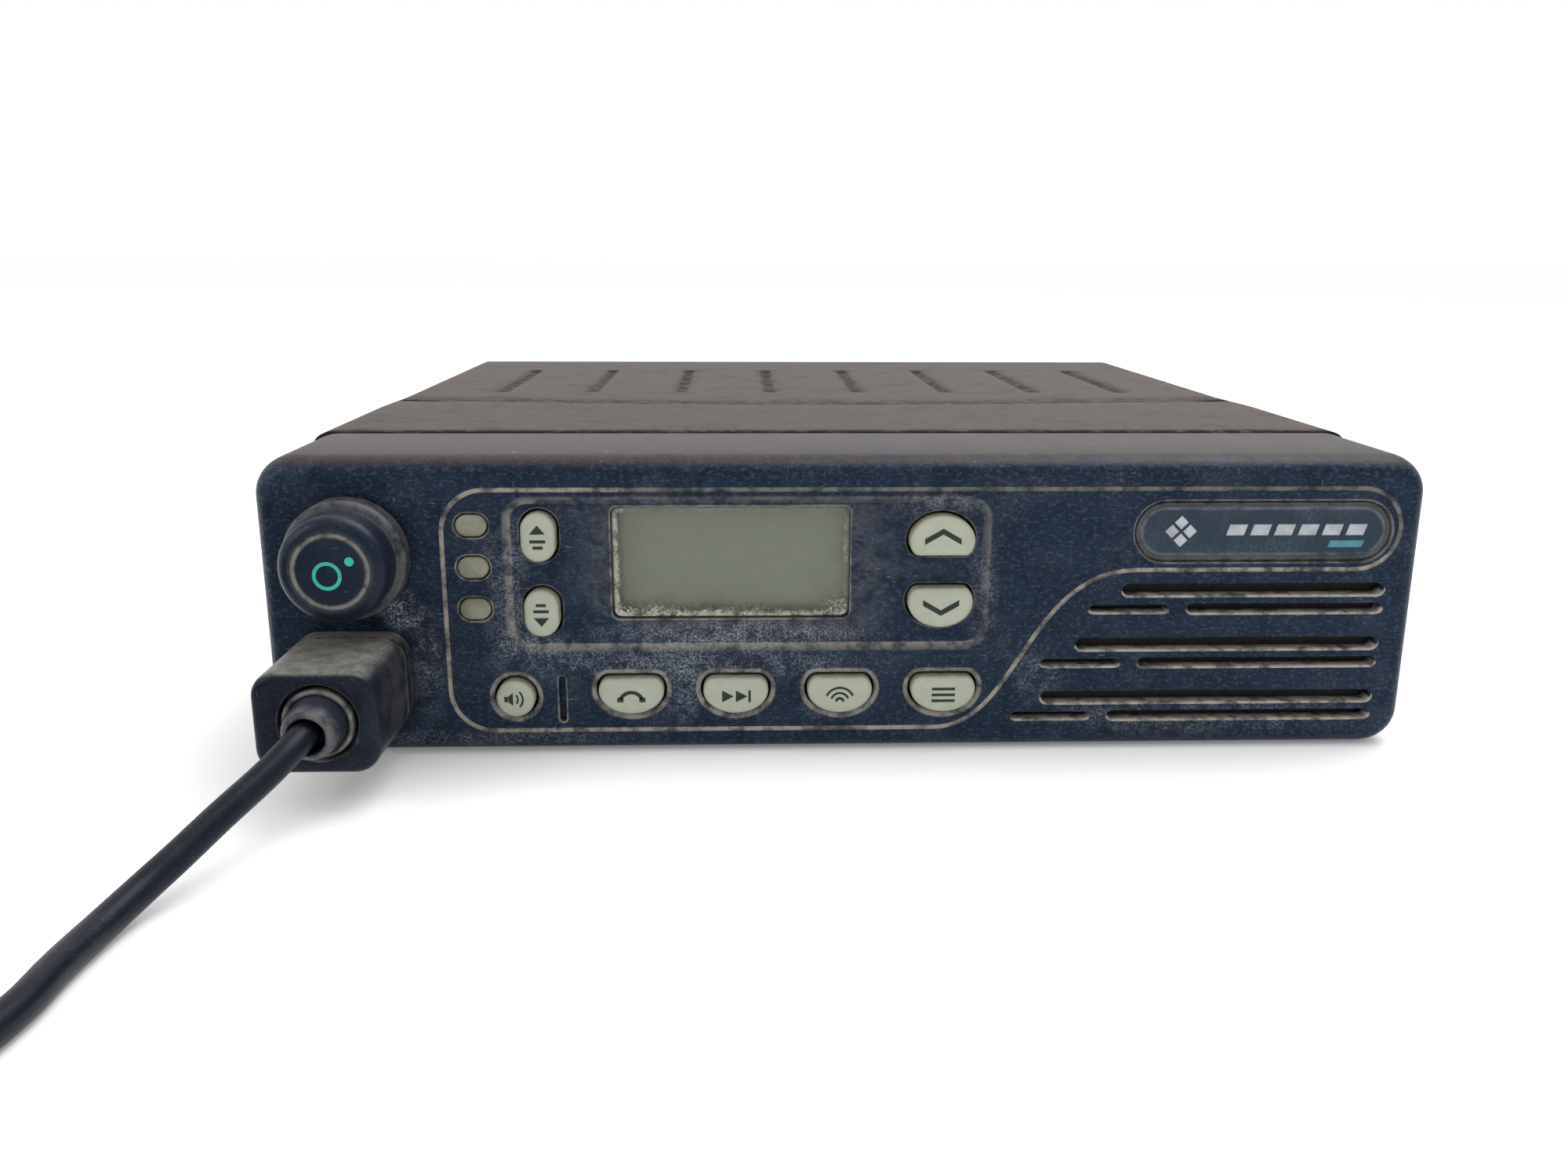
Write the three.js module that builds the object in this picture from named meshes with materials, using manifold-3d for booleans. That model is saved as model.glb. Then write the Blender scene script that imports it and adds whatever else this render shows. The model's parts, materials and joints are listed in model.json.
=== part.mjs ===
// Mobile transceiver with its hand microphone, in millimetres, +Z up, front panel facing -Y.
// The origin is the centre of the radio's underside, which is the surface it rests on.
import * as THREE from "three";
import { mergeVertices } from "three/addons/utils/BufferGeometryUtils.js";
import Module from "manifold-3d";

const wasm = await Module();
wasm.setup();

// Radio casing
const WIDTH = 168;
const HEIGHT = 44;
const DEPTH = 165;
const FRONT = -DEPTH / 2;
const REAR = DEPTH / 2;
const GAP = 0.3;
const BEZEL_DEPTH = 25.5;
const BEZEL_WALL = 2;
const BEZEL_ROLL = 4.6;
const FACE_WALL = 2.5;
const BEZEL_REAR = FRONT + BEZEL_DEPTH;
const FACE_BACK = FRONT + FACE_WALL;
const BODY_HALF = 83.3;
const BODY_FRONT = BEZEL_REAR + 0.5;
const COVER_THICK = 1.4;
const BOTTOM_THICK = 1.5;
const CHASSIS_WALL = 2.6;
const CHASSIS_FLOOR = 3;
const FIN_ROOT = 69;
const FIN_COUNT = 15;
const FIN_THICK = 2;

// Front panel features, as centres in the panel's plane
const KNOB = { x: -70.5, z: 30.3, radius: 8.6, top: 7.9, reach: 10.6 };
const JACK = { x: -71.2, z: 11.6, width: 13, height: 11 };
const WINDOW = { x: -16.8, z: 28.7, width: 34.3, height: 16.6, corner: 1 };
const DISPLAY_PANEL = { x: -14.3, z: 27.1, width: 69.4, height: 22.6, corner: 3.4, deep: 0.6 };
const BADGE = { x: 60, z: 33.2, width: 37.6, height: 9, deep: 0.9 };
const LAMP = { x: -53.4, width: 4.4, height: 3.1 };
const LAMP_HEIGHTS = { lamp_window_upper: 34.4, lamp_window_middle: 28.3, lamp_window_lower: 22.2 };
const SPEAKER = { x: 55, z: 16.8, radius: 14, deep: 15 };
const GROOVE = { width: 0.8, deep: 0.5 };
const DIVIDER = { x: -41.5, bottom: 4.6, top: 12 };
const KEY_CLEARANCE = 0.35;
const KEY_REACH = 1.2;
const KEY_FLANGE = 0.9;
const KEY_TRAVEL_ROOM = 1.2;
const SLOT_RIGHT = 78.5;
const SLOT_PITCH = 8.2;
const SLOT_TOP = 24.6;

// Microphone cord
const CORD_DIAMETER = 3.8;
const CURL_DIAMETER = 15;
const CORD_SIDES = 8;

// Hand microphone, lying on its back
const MIC = { x: -146, y: -155, width: 54, length: 84, thick: 25, corner: 13 };
const HOOK = { radius: 6.5, high: 5, y: -20 };
const MIC_TILT = Math.atan2(HOOK.high, MIC.length / 2 - HOOK.y - HOOK.radius);

function material(color, roughness, metalness = 0) {
  return new THREE.MeshStandardMaterial({ color, roughness, metalness });
}

const MATERIALS = {
  bezel: material(0x2a2d36, 0.6),
  cover: material(0x4a3e34, 0.7),
  casting: material(0x2b2a2a, 0.6, 0.4),
  steel: material(0x9a9da0, 0.35, 0.9),
  brass: material(0xb08d45, 0.35, 0.9),
  key: material(0xc8c9b0, 0.5),
  rubber: material(0x1d1e20, 0.8),
  black: material(0x17181b, 0.55),
  lens: material(0x8a9080, 0.15),
  lamp: material(0xb8b8a4, 0.4),
  lcd: material(0x767c6a, 0.2),
  board: material(0x1f5a36, 0.5),
  badge: material(0x202530, 0.35, 0.2),
  felt: material(0x8c7c62, 0.95),
  paper: material(0x2a2724, 0.9),
  ferrite: material(0x35353a, 0.5, 0.3),
  plastic_white: material(0xd8d8d0, 0.4),
};

const transceiver = new THREE.Group();

// Booleans

function solid(geometry) {
  const bare = geometry.clone();
  bare.deleteAttribute("normal");
  bare.deleteAttribute("uv");
  const merged = mergeVertices(bare, 1e-4);
  return new wasm.Manifold(
    new wasm.Mesh({
      numProp: 3,
      vertProperties: merged.attributes.position.array,
      triVerts: new Uint32Array(merged.index.array),
    }),
  );
}

function join(first, ...others) {
  return others.reduce((sum, other) => sum.add(solid(other)), solid(first));
}

function cut(body, ...tools) {
  return tools.reduce((left, tool) => left.subtract(solid(tool)), body);
}

function geometryOf(body) {
  const mesh = body.getMesh();
  const positions = new Float32Array(mesh.numVert * 3);
  for (let i = 0; i < mesh.numVert; i++) {
    const at = i * mesh.numProp;
    positions.set(mesh.vertProperties.subarray(at, at + 3), i * 3);
  }
  const geometry = new THREE.BufferGeometry();
  geometry.setAttribute("position", new THREE.BufferAttribute(positions, 3));
  geometry.setIndex(new THREE.BufferAttribute(mesh.triVerts, 1));
  geometry.computeVertexNormals();
  return geometry;
}

function add(name, shape, look, group = transceiver) {
  const geometry = shape.isBufferGeometry ? shape : geometryOf(shape);
  const mesh = new THREE.Mesh(geometry, MATERIALS[look]);
  mesh.name = name;
  group.add(mesh);
  return mesh;
}

// Plain shapes

function box([x0, x1], [y0, y1], [z0, z1]) {
  const geometry = new THREE.BoxGeometry(x1 - x0, y1 - y0, z1 - z0);
  return geometry.translate((x0 + x1) / 2, (y0 + y1) / 2, (z0 + z1) / 2);
}

function roundedRectangle(width, height, radius, x = 0, y = 0) {
  const w = width / 2;
  const h = height / 2;
  const r = Math.min(radius, w, h);
  const shape = new THREE.Shape();
  shape.moveTo(x - w + r, y - h);
  shape.lineTo(x + w - r, y - h);
  shape.absarc(x + w - r, y - h + r, r, -Math.PI / 2, 0);
  shape.lineTo(x + w, y + h - r);
  shape.absarc(x + w - r, y + h - r, r, 0, Math.PI / 2);
  shape.lineTo(x - w + r, y + h);
  shape.absarc(x - w + r, y + h - r, r, Math.PI / 2, Math.PI);
  shape.lineTo(x - w, y - h + r);
  shape.absarc(x - w + r, y - h + r, r, Math.PI, Math.PI * 1.5);
  return shape;
}

// A shape drawn in the panel's plane, standing from y = back to y = back - thick.
function facing(shape, back, thick, curveSegments = 3) {
  const geometry = new THREE.ExtrudeGeometry(shape, { depth: thick, bevelEnabled: false, curveSegments });
  return geometry.rotateX(Math.PI / 2).translate(0, back, 0);
}

// A shape drawn from above, standing from z = low to z = low + thick.
function lying(shape, low, thick, curveSegments = 4) {
  const geometry = new THREE.ExtrudeGeometry(shape, { depth: thick, bevelEnabled: false, curveSegments });
  return geometry.translate(0, 0, low);
}

// A solid of revolution about a line along Y; each profile point is [radius, y].
function turned(profile, x, z, sides = 24) {
  const points = profile.map(([radius, y]) => new THREE.Vector2(radius, y));
  return new THREE.LatheGeometry(points, sides).translate(x, 0, z);
}

// A solid of revolution about a line along Z; each profile point is [radius, z].
function upright(profile, x, y, sides = 16) {
  const points = profile.map(([radius, z]) => new THREE.Vector2(radius, z));
  return new THREE.LatheGeometry(points, sides).rotateX(Math.PI / 2).translate(x, y, 0);
}

function rodY(x, z, radius, y0, y1, sides = 20) {
  const length = y1 - y0;
  return new THREE.CylinderGeometry(radius, radius, length, sides).translate(x, (y0 + y1) / 2, z);
}

function rodX(y, z, radius, x0, x1, sides = 16) {
  const geometry = new THREE.CylinderGeometry(radius, radius, x1 - x0, sides).rotateZ(Math.PI / 2);
  return geometry.translate((x0 + x1) / 2, y, z);
}

function rodZ(x, y, radius, z0, z1, sides = 16) {
  const geometry = new THREE.CylinderGeometry(radius, radius, z1 - z0, sides).rotateX(Math.PI / 2);
  return geometry.translate(x, y, (z0 + z1) / 2);
}

// Outlines of the front panel's keys, grown by an even margin

function pillKey(x, z, width, height, margin = 0) {
  const w = width + 2 * margin;
  return roundedRectangle(w, height + 2 * margin, w / 2, x, z);
}

// One long side is flat with rounded ends and the other is a half ellipse; lift is +1 with the flat side on top.
function crescentKey(x, z, width, height, lift, margin = 0) {
  const w = width / 2 + margin;
  const flat = height * 0.36 + margin;
  const dome = height * 0.64 + margin;
  const shape = new THREE.Shape();
  const steps = 10;
  for (let i = 0; i <= steps; i++) {
    const angle = (Math.PI * i) / steps;
    shape[i ? "lineTo" : "moveTo"](x - w * Math.cos(angle), z - lift * dome * Math.sin(angle));
  }
  const corner = [0.35, 0.7, 1].map((share) => (share * Math.PI) / 2);
  for (const angle of corner) {
    shape.lineTo(x + w * (1 - 0.3 * (1 - Math.cos(angle))), z + lift * flat * Math.sin(angle));
  }
  for (const angle of corner.reverse()) {
    shape.lineTo(x - w * (1 - 0.3 * (1 - Math.cos(angle))), z + lift * flat * Math.sin(angle));
  }
  return shape;
}

const KEYS = {
  select_key: (margin) => pillKey(-44, 32.8, 4.9, 7.1, margin),
  home_key: (margin) => pillKey(-43.9, 21.7, 5, 6.9, margin),
  up_key: (margin) => crescentKey(13.4, 32.1, 9.4, 5.9, -1, margin),
  down_key: (margin) => crescentKey(13.4, 23.1, 9.4, 5.9, 1, margin),
  monitor_key: (margin) => pillKey(-48.2, 8.9, 5.6, 5.6, margin),
  phone_key: (margin) => crescentKey(-31.4, 9.9, 9.5, 5.5, 1, margin),
  scan_key: (margin) => crescentKey(-16.2, 9.9, 9.5, 5.5, 1, margin),
  call_key: (margin) => crescentKey(-1, 9.9, 9.5, 5.5, 1, margin),
  menu_key: (margin) => crescentKey(14.2, 9.9, 9.5, 5.5, 1, margin),
};

// The decorative line that frames the controls and, in a tongue to the right, the badge.
function grooveLoop(inset) {
  const left = -58 + inset;
  const bottom = 3.3 + inset;
  const top = 39.8 - inset;
  const corner = 6.5 - inset;
  const tongue = { x: 74.1, z: 33.5, radius: 6.3 - inset };
  const shape = new THREE.Shape();
  shape.moveTo(left + corner, bottom);
  shape.lineTo(13, bottom);
  shape.bezierCurveTo(26 - inset, bottom, 26 - inset, tongue.z - tongue.radius, 42, tongue.z - tongue.radius);
  shape.absarc(tongue.x, tongue.z, tongue.radius, -Math.PI / 2, Math.PI / 2);
  shape.absarc(left + corner, top - corner, corner, Math.PI / 2, Math.PI);
  shape.absarc(left + corner, bottom + corner, corner, Math.PI, Math.PI * 1.5);
  return shape;
}

// Speaker slots: three long ones, each with a split one under it, following the loop's slanted side.
function speakerSlots() {
  const longStarts = [40.1, 33.7, 29];
  const splitStarts = [35.4, 28.7, 24.7];
  const slots = [];
  longStarts.forEach((start, row) => {
    const z = SLOT_TOP - SLOT_PITCH * row;
    const under = z - 2.85;
    const split = splitStarts[row];
    slots.push([start, SLOT_RIGHT, z, 1.9]);
    slots.push([split, split + 11.5, under, 1.1]);
    slots.push([split + 14.4, SLOT_RIGHT, under, 1.6]);
  });
  return slots.map(([x0, x1, z, high]) => roundedRectangle(x1 - x0, high, high / 2, (x0 + x1) / 2, z));
}

// Front bezel and what is set into it

function buildBezel() {
  const inner = roundedRectangle(WIDTH - 2 * BEZEL_ROLL, HEIGHT - 2 * BEZEL_ROLL, 1, 0, HEIGHT / 2);
  const rolled = new THREE.ExtrudeGeometry(inner, {
    depth: BEZEL_DEPTH,
    bevelThickness: BEZEL_ROLL,
    bevelSize: BEZEL_ROLL,
    bevelSegments: 3,
    curveSegments: 3,
  });
  rolled.rotateX(Math.PI / 2).translate(0, BEZEL_REAR + BEZEL_ROLL, 0);
  const block = cut(solid(rolled), box([-90, 90], [BEZEL_REAR, BEZEL_REAR + 20], [-5, 50]));
  const wide = WIDTH / 2 - BEZEL_WALL;
  const cavity = roundedRectangle(2 * wide, HEIGHT - 2 * BEZEL_WALL, 3, 0, HEIGHT / 2);
  const loop = grooveLoop(0);
  loop.holes.push(grooveLoop(GROOVE.width));
  const panel = DISPLAY_PANEL;
  const recess = roundedRectangle(panel.width, panel.height, panel.corner, panel.x, panel.z);
  const badge = roundedRectangle(BADGE.width, BADGE.height, BADGE.height / 2, BADGE.x, BADGE.z);
  const view = roundedRectangle(WINDOW.width, WINDOW.height, WINDOW.corner, WINDOW.x, WINDOW.z);
  const jack = roundedRectangle(JACK.width, JACK.height, 1.5, JACK.x, JACK.z);
  const divider = roundedRectangle(1, DIVIDER.top - DIVIDER.bottom, 0.5, DIVIDER.x, (DIVIDER.top + DIVIDER.bottom) / 2);
  const through = [view, jack, ...speakerSlots(), ...Object.values(KEYS).map((key) => key(KEY_CLEARANCE))];
  for (const z of Object.values(LAMP_HEIGHTS)) {
    through.push(roundedRectangle(LAMP.width + 0.4, LAMP.height + 0.4, 2, LAMP.x, z));
  }
  const bezel = cut(
    block,
    facing(cavity, BEZEL_REAR + 1, BEZEL_DEPTH - FACE_WALL + 1),
    facing(loop, FRONT + GROOVE.deep, 2, 6),
    facing(recess, FRONT + panel.deep, 2),
    facing(badge, FRONT + BADGE.deep, 3),
    facing(divider, FRONT + GROOVE.deep, 2),
    rodY(KNOB.x, KNOB.z, 4, FRONT - 1, FACE_BACK + 1),
    ...through.map((shape) => facing(shape, FACE_BACK + 1, 5)),
  );
  add("front_bezel", bezel, "bezel");
}

function buildDisplay() {
  const { x, z, width, height, corner } = WINDOW;
  const lens = roundedRectangle(width - 0.6, height - 0.6, corner, x, z);
  add("display_window", facing(lens, FRONT + 2, 1), "lens");
  const stack = [x - width / 2 - 2, x + width / 2 + 2];
  const tall = [z - height / 2 - 2, z + height / 2 + 2];
  const glassBack = FACE_BACK + GAP + 2;
  const glass = box([stack[0] + 1.6, stack[1] - 1.6], [FACE_BACK + GAP, glassBack], [tall[0] + 1.6, tall[1] - 1.6]);
  add("lcd_glass", glass, "lcd");
  const guide = box([stack[0] + 2, stack[1] - 2], [glassBack + GAP, glassBack + 2], [tall[0] + 2, tall[1] - 2]);
  add("backlight_guide", guide, "plastic_white");
  const holder = cut(
    solid(box(stack, [FACE_BACK + GAP, glassBack + 3], tall)),
    box([stack[0] + 1.2, stack[1] - 1.2], [FRONT, glassBack + 2.2], [tall[0] + 1.2, tall[1] - 1.2]),
  );
  add("lcd_holder", holder, "plastic_white");
}

function buildLampsAndBadge() {
  for (const [name, z] of Object.entries(LAMP_HEIGHTS)) {
    const pill = roundedRectangle(LAMP.width, LAMP.height, LAMP.height / 2, LAMP.x, z);
    add(name, facing(pill, FACE_BACK + 0.6, FACE_WALL + 0.5), "lamp");
  }
  const plate = roundedRectangle(BADGE.width - 0.6, BADGE.height - 0.6, BADGE.height / 2, BADGE.x, BADGE.z);
  add("nameplate", facing(plate, FRONT + BADGE.deep - 0.1, 0.6, 8), "badge");
}

function buildKeys() {
  for (const [name, outline] of Object.entries(KEYS)) {
    const cap = facing(outline(0), FACE_BACK + GAP + KEY_FLANGE, FACE_WALL + GAP + KEY_FLANGE + KEY_REACH);
    const flange = facing(outline(0.9), FACE_BACK + GAP + KEY_FLANGE, KEY_FLANGE);
    add(name, join(cap, flange), "key");
  }
}

const KEY_BACK = FACE_BACK + GAP + KEY_FLANGE;
const BOARD_FRONT = -74.4;
const BOARD_THICK = 1.6;

function buildKeypadAndBoard() {
  const front = KEY_BACK + KEY_TRAVEL_ROOM;
  const pad = { left: -57, right: 22, bottom: 3.6, top: 40 };
  const sheet = solid(box([pad.left, pad.right], [front, front + 1], [pad.bottom, pad.top]));
  const round = GAP + 2;
  const cutout = box(
    [WINDOW.x - WINDOW.width / 2 - round, WINDOW.x + WINDOW.width / 2 + round],
    [front - 1, front + 2],
    [WINDOW.z - WINDOW.height / 2 - round, WINDOW.z + WINDOW.height / 2 + round],
  );
  add("keypad_membrane", cut(sheet, cutout), "rubber");
  const board = cut(
    solid(box([-80, 34], [BOARD_FRONT, BOARD_FRONT + BOARD_THICK], [3.5, 40.5])),
    box([-90, -61], [BOARD_FRONT - 1, BOARD_FRONT + 4], [0, 21]),
  );
  add("control_board", board, "board");
}

function buildVolumeControl() {
  const { x, z, radius, top, reach } = KNOB;
  const skirt = FRONT - 0.5;
  const face = FRONT - reach;
  const profile = [
    [0, skirt], [radius, skirt], [radius, skirt - 1.4], [radius - 0.5, skirt - 1.8], [top, face + 2.4],
    [top - 0.7, face + 0.9], [top - 2.2, face], [top - 2.6, face + 0.35], [0, face + 0.35],
  ].reverse();
  const bore = rodY(x, z, 3.1, face + 2.5, FRONT + 5, 16);
  add("volume_knob", cut(solid(turned(profile, x, z, 32)), bore), "black");
  add("volume_shaft", rodY(x, z, 2.9, face + 2.8, FACE_BACK + GAP + 3, 16), "steel");
  const body = box([x - 6, x + 6], [FACE_BACK + GAP, BOARD_FRONT - GAP], [z - 6, z + 6]);
  const pot = join(body, rodY(x, z, 3.7, FRONT + 0.6, FACE_BACK + 1, 16));
  add("volume_pot", cut(pot, rodY(x, z, 3.15, FRONT - 1, FACE_BACK + GAP + 3.3, 16)), "steel");
}

function buildJack() {
  const { x, z } = JACK;
  const shell = solid(box([x - 8, x + 8], [FACE_BACK + GAP, FACE_BACK + 13], [z - 7, z + 7]));
  add("mic_jack", cut(shell, box([x - 6, x + 6], [FRONT, FACE_BACK + 10], [z - 5, z + 5])), "black");
}

function buildSpeaker() {
  const { x, z, radius, deep } = SPEAKER;
  const front = FACE_BACK + GAP;
  const cloth = roundedRectangle(52, 24, 3, 52.5, 15.4);
  add("speaker_cloth", facing(cloth, front + 0.8, 0.8), "felt");
  const rim = front + 1.1;
  const basket = [
    [radius, rim], [radius, rim + 2], [8.5, rim + 9.5], [4.2, rim + 9.5], [4.2, rim + 8.3], [7.3, rim + 8.3],
    [radius - 1.2, rim + 1.2], [radius - 1.2, rim], [radius, rim],
  ];
  add("speaker_basket", turned(basket, x, z), "steel");
  const cone = [
    [0, rim + 4.2], [3, rim + 5.2], [radius - 1.6, rim + 0.6], [radius - 1.6, rim + 1.2], [3.4, rim + 7.6],
    [0, rim + 7.6],
  ];
  add("speaker_cone", turned(cone, x, z), "paper");
  add("speaker_magnet", rodY(x, z, 9.5, rim + 9.8, rim + deep, 24), "ferrite");
}

// Body: cast chassis with rear fins, top cover, bottom plate and the electronics inside

const CHASSIS_HALF = BODY_HALF - COVER_THICK - GAP;
const CHASSIS_BASE = BOTTOM_THICK + GAP;
const CHASSIS_TOP = HEIGHT - COVER_THICK - GAP;
const BOARD_LEVEL = 12;
const POST_PLACES = [
  [-70, -46], [70, -46], [-70, 58], [70, 58],
];
const PLATE_SCREWS = [
  [-74, -50], [74, -50], [-74, 61], [74, 61],
];
const BRACKET_HOLES = { rows: [-22, 22], z: 26, radius: 2.2, deep: 5 };
const ANTENNA = { x: 52, z: 24 };
const POWER = { x: -46, z: 23, width: 20, height: 13 };
const ACCESSORY = { x: 4, z: 23, width: 40, height: 11 };

// Threaded holes for a vehicle bracket, two on each side.
function bracketHoles(radius) {
  const { rows, z, deep } = BRACKET_HOLES;
  return rows.flatMap((y) => [
    rodX(y, z, radius, -BODY_HALF - 1, -BODY_HALF + deep, 12),
    rodX(y, z, radius, BODY_HALF - deep, BODY_HALF + 1, 12),
  ]);
}

function buildChassis() {
  const inner = CHASSIS_HALF - CHASSIS_WALL;
  const tray = box([-CHASSIS_HALF, CHASSIS_HALF], [BODY_FRONT, FIN_ROOT + 3.5], [CHASSIS_BASE, CHASSIS_TOP]);
  const hollow = box([-inner, inner], [BODY_FRONT + 3, FIN_ROOT - 3], [CHASSIS_BASE + CHASSIS_FLOOR, HEIGHT]);
  const fins = [];
  const pitch = (2 * CHASSIS_HALF - FIN_THICK) / (FIN_COUNT - 1);
  for (let i = 0; i < FIN_COUNT; i++) {
    const x = -CHASSIS_HALF + i * pitch;
    fins.push(box([x, x + FIN_THICK], [FIN_ROOT + 3, REAR], [CHASSIS_BASE, CHASSIS_TOP]));
  }
  const posts = POST_PLACES.map(([x, y]) => rodZ(x, y, 3, CHASSIS_BASE + 1, BOARD_LEVEL - GAP, 12));
  const bosses = PLATE_SCREWS.map(([x, y]) => rodZ(x, y, 3.4, CHASSIS_BASE + 1, CHASSIS_BASE + 7, 12));
  const socketRoom = [
    [ANTENNA.x, ANTENNA.z, 19, 19],
    [POWER.x, POWER.z, POWER.width + 2, POWER.height + 2],
    [ACCESSORY.x, ACCESSORY.z, ACCESSORY.width + 2, ACCESSORY.height + 2],
  ];
  const rooms = socketRoom.map(([x, z, w, h]) =>
    box([x - w / 2, x + w / 2], [FIN_ROOT + 0.5, REAR + 5], [z - h / 2, z + h / 2]),
  );
  const holes = [
    box([POWER.x - 9, POWER.x + 9], [FIN_ROOT - 5, REAR], [POWER.z - 5, POWER.z + 5]),
    box([ACCESSORY.x - 19, ACCESSORY.x + 19], [FIN_ROOT - 5, REAR], [ACCESSORY.z - 4, ACCESSORY.z + 4]),
    rodY(ANTENNA.x, ANTENNA.z, 4, FIN_ROOT - 5, REAR, 16),
    box([-60, 60], [BODY_FRONT - 1, BODY_FRONT + 4], [16, 34]),
    ...PLATE_SCREWS.map(([x, y]) => rodZ(x, y, 1.8, CHASSIS_BASE - 1, CHASSIS_BASE + 8, 12)),
  ];
  const body = cut(join(tray), hollow);
  const whole = [...fins, ...posts, ...bosses].reduce((sum, piece) => sum.add(solid(piece)), body);
  add("chassis", cut(whole, ...rooms, ...holes, ...bracketHoles(BRACKET_HOLES.radius)), "casting");
}

// The top is stepped down a little behind a shallow curved line and has eight long shallow channels.
function buildTopCover() {
  const half = BODY_HALF;
  const low = 15;
  const outer = new THREE.Shape();
  const roll = 3;
  outer.moveTo(-half, low);
  outer.lineTo(-half + COVER_THICK, low);
  outer.lineTo(-half + COVER_THICK, HEIGHT - COVER_THICK);
  outer.lineTo(half - COVER_THICK, HEIGHT - COVER_THICK);
  outer.lineTo(half - COVER_THICK, low);
  outer.lineTo(half, low);
  outer.lineTo(half, HEIGHT - roll);
  outer.absarc(half - roll, HEIGHT - roll, roll, 0, Math.PI / 2);
  outer.absarc(-half + roll, HEIGHT - roll, roll, Math.PI / 2, Math.PI);
  const sleeve = solid(facing(outer, REAR - 0.5, REAR - 0.5 - BODY_FRONT));
  const line = new THREE.Shape();
  line.moveTo(-half - 1, -10);
  line.quadraticCurveTo(0, -26, half + 1, -10);
  line.lineTo(half + 1, REAR + 1);
  line.lineTo(-half - 1, REAR + 1);
  const channels = [];
  for (let i = 0; i < 8; i++) {
    channels.push(lying(roundedRectangle(1.6, 54, 0.8, -64.4 + 18.4 * i, 30.5), HEIGHT - 0.9, 2, 2));
  }
  const sunk = lying(line, HEIGHT - 0.35, 2, 8);
  add("top_cover", cut(sleeve, sunk, ...channels, ...bracketHoles(BRACKET_HOLES.radius + 0.8)), "cover");
}

function buildBottomPlate() {
  const plate = solid(box([-BODY_HALF, BODY_HALF], [BODY_FRONT, REAR - 1], [0, BOTTOM_THICK]));
  const holes = PLATE_SCREWS.map(([x, y]) => rodZ(x, y, 2.9, -1, 3, 16));
  add("bottom_plate", cut(plate, ...holes), "casting");
  PLATE_SCREWS.forEach(([x, y], i) => {
    const profile = [[0, 0.5], [2.6, 0.5], [2.6, 1.6], [1.5, 1.9], [1.5, 7], [0, 7]];
    add(`plate_screw_${i + 1}`, upright(profile.map(([r, z]) => [r, z]), x, y, 12), "steel");
  });
}

function buildElectronics() {
  const top = BOARD_LEVEL + 1.6;
  add("main_board", box([-76, 76], [-52, 62], [BOARD_LEVEL, top]), "board");
  add("receiver_shield", box([-66, -6], [-44, 4], [top + GAP, top + 6]), "steel");
  add("synthesizer_shield", box([4, 60], [-40, -4], [top + GAP, top + 6]), "steel");
  add("power_module", box([14, 72], [44, FIN_ROOT - 3.3], [top + GAP, top + 9]), "black");
  add("antenna_relay", box([50, 68], [14, 30], [top + GAP, top + 12]), "plastic_white");
  add("filter_capacitor", rodZ(-40, 40, 5, top + GAP, top + 14, 16), "black");
  add("output_coil", rodZ(36, 26, 4.5, top + GAP, top + 8, 16), "brass");
  add("board_link", box([-24, 24], [BOARD_FRONT + BOARD_THICK + GAP, -51.6], [18, 19]), "rubber");
}

function buildRearSockets() {
  const wall = FIN_ROOT + 0.8;
  const flange = box([ANTENNA.x - 9, ANTENNA.x + 9], [wall, wall + 2], [ANTENNA.z - 9, ANTENNA.z + 9]);
  const barrel = rodY(ANTENNA.x, ANTENNA.z, 6.4, wall + 1, REAR + 9, 20);
  const socket = cut(join(flange, barrel), rodY(ANTENNA.x, ANTENNA.z, 4, wall + 4, REAR + 12, 20));
  const contact = solid(rodY(ANTENNA.x, ANTENNA.z, 1.2, wall + 3, wall + 12, 8));
  add("antenna_socket", socket.add(contact), "steel");
  const shroud = (place, reach) => {
    const { x, z, width, height } = place;
    const wide = width / 2;
    const tall = height / 2;
    const block = solid(box([x - wide, x + wide], [wall, reach], [z - tall, z + tall]));
    return cut(block, box([x - wide + 1.6, x + wide - 1.6], [wall + 3, reach + 1], [z - tall + 1.6, z + tall - 1.6]));
  };
  add("power_inlet", shroud(POWER, REAR - 0.5), "black");
  add("accessory_socket", shroud(ACCESSORY, REAR - 0.5), "black");
  for (const side of [-1, 1]) {
    const pin = box(
      [POWER.x + side * 4.5 - 1.6, POWER.x + side * 4.5 + 1.6],
      [wall + 3.2, wall + 6.5],
      [POWER.z - 0.6, POWER.z + 0.6],
    );
    add(side < 0 ? "power_pin_left" : "power_pin_right", pin, "brass");
  }
}

// Microphone plug on the front, its cord, and the hand microphone at the far end

const PLUG = { back: FRONT - 0.3, front: FRONT - 20, left: -79, right: -62.8, low: 5.3, top: 19.2 };
const BOSS = { x: -70.4, z: 12.6, radius: 4.7 };

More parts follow.
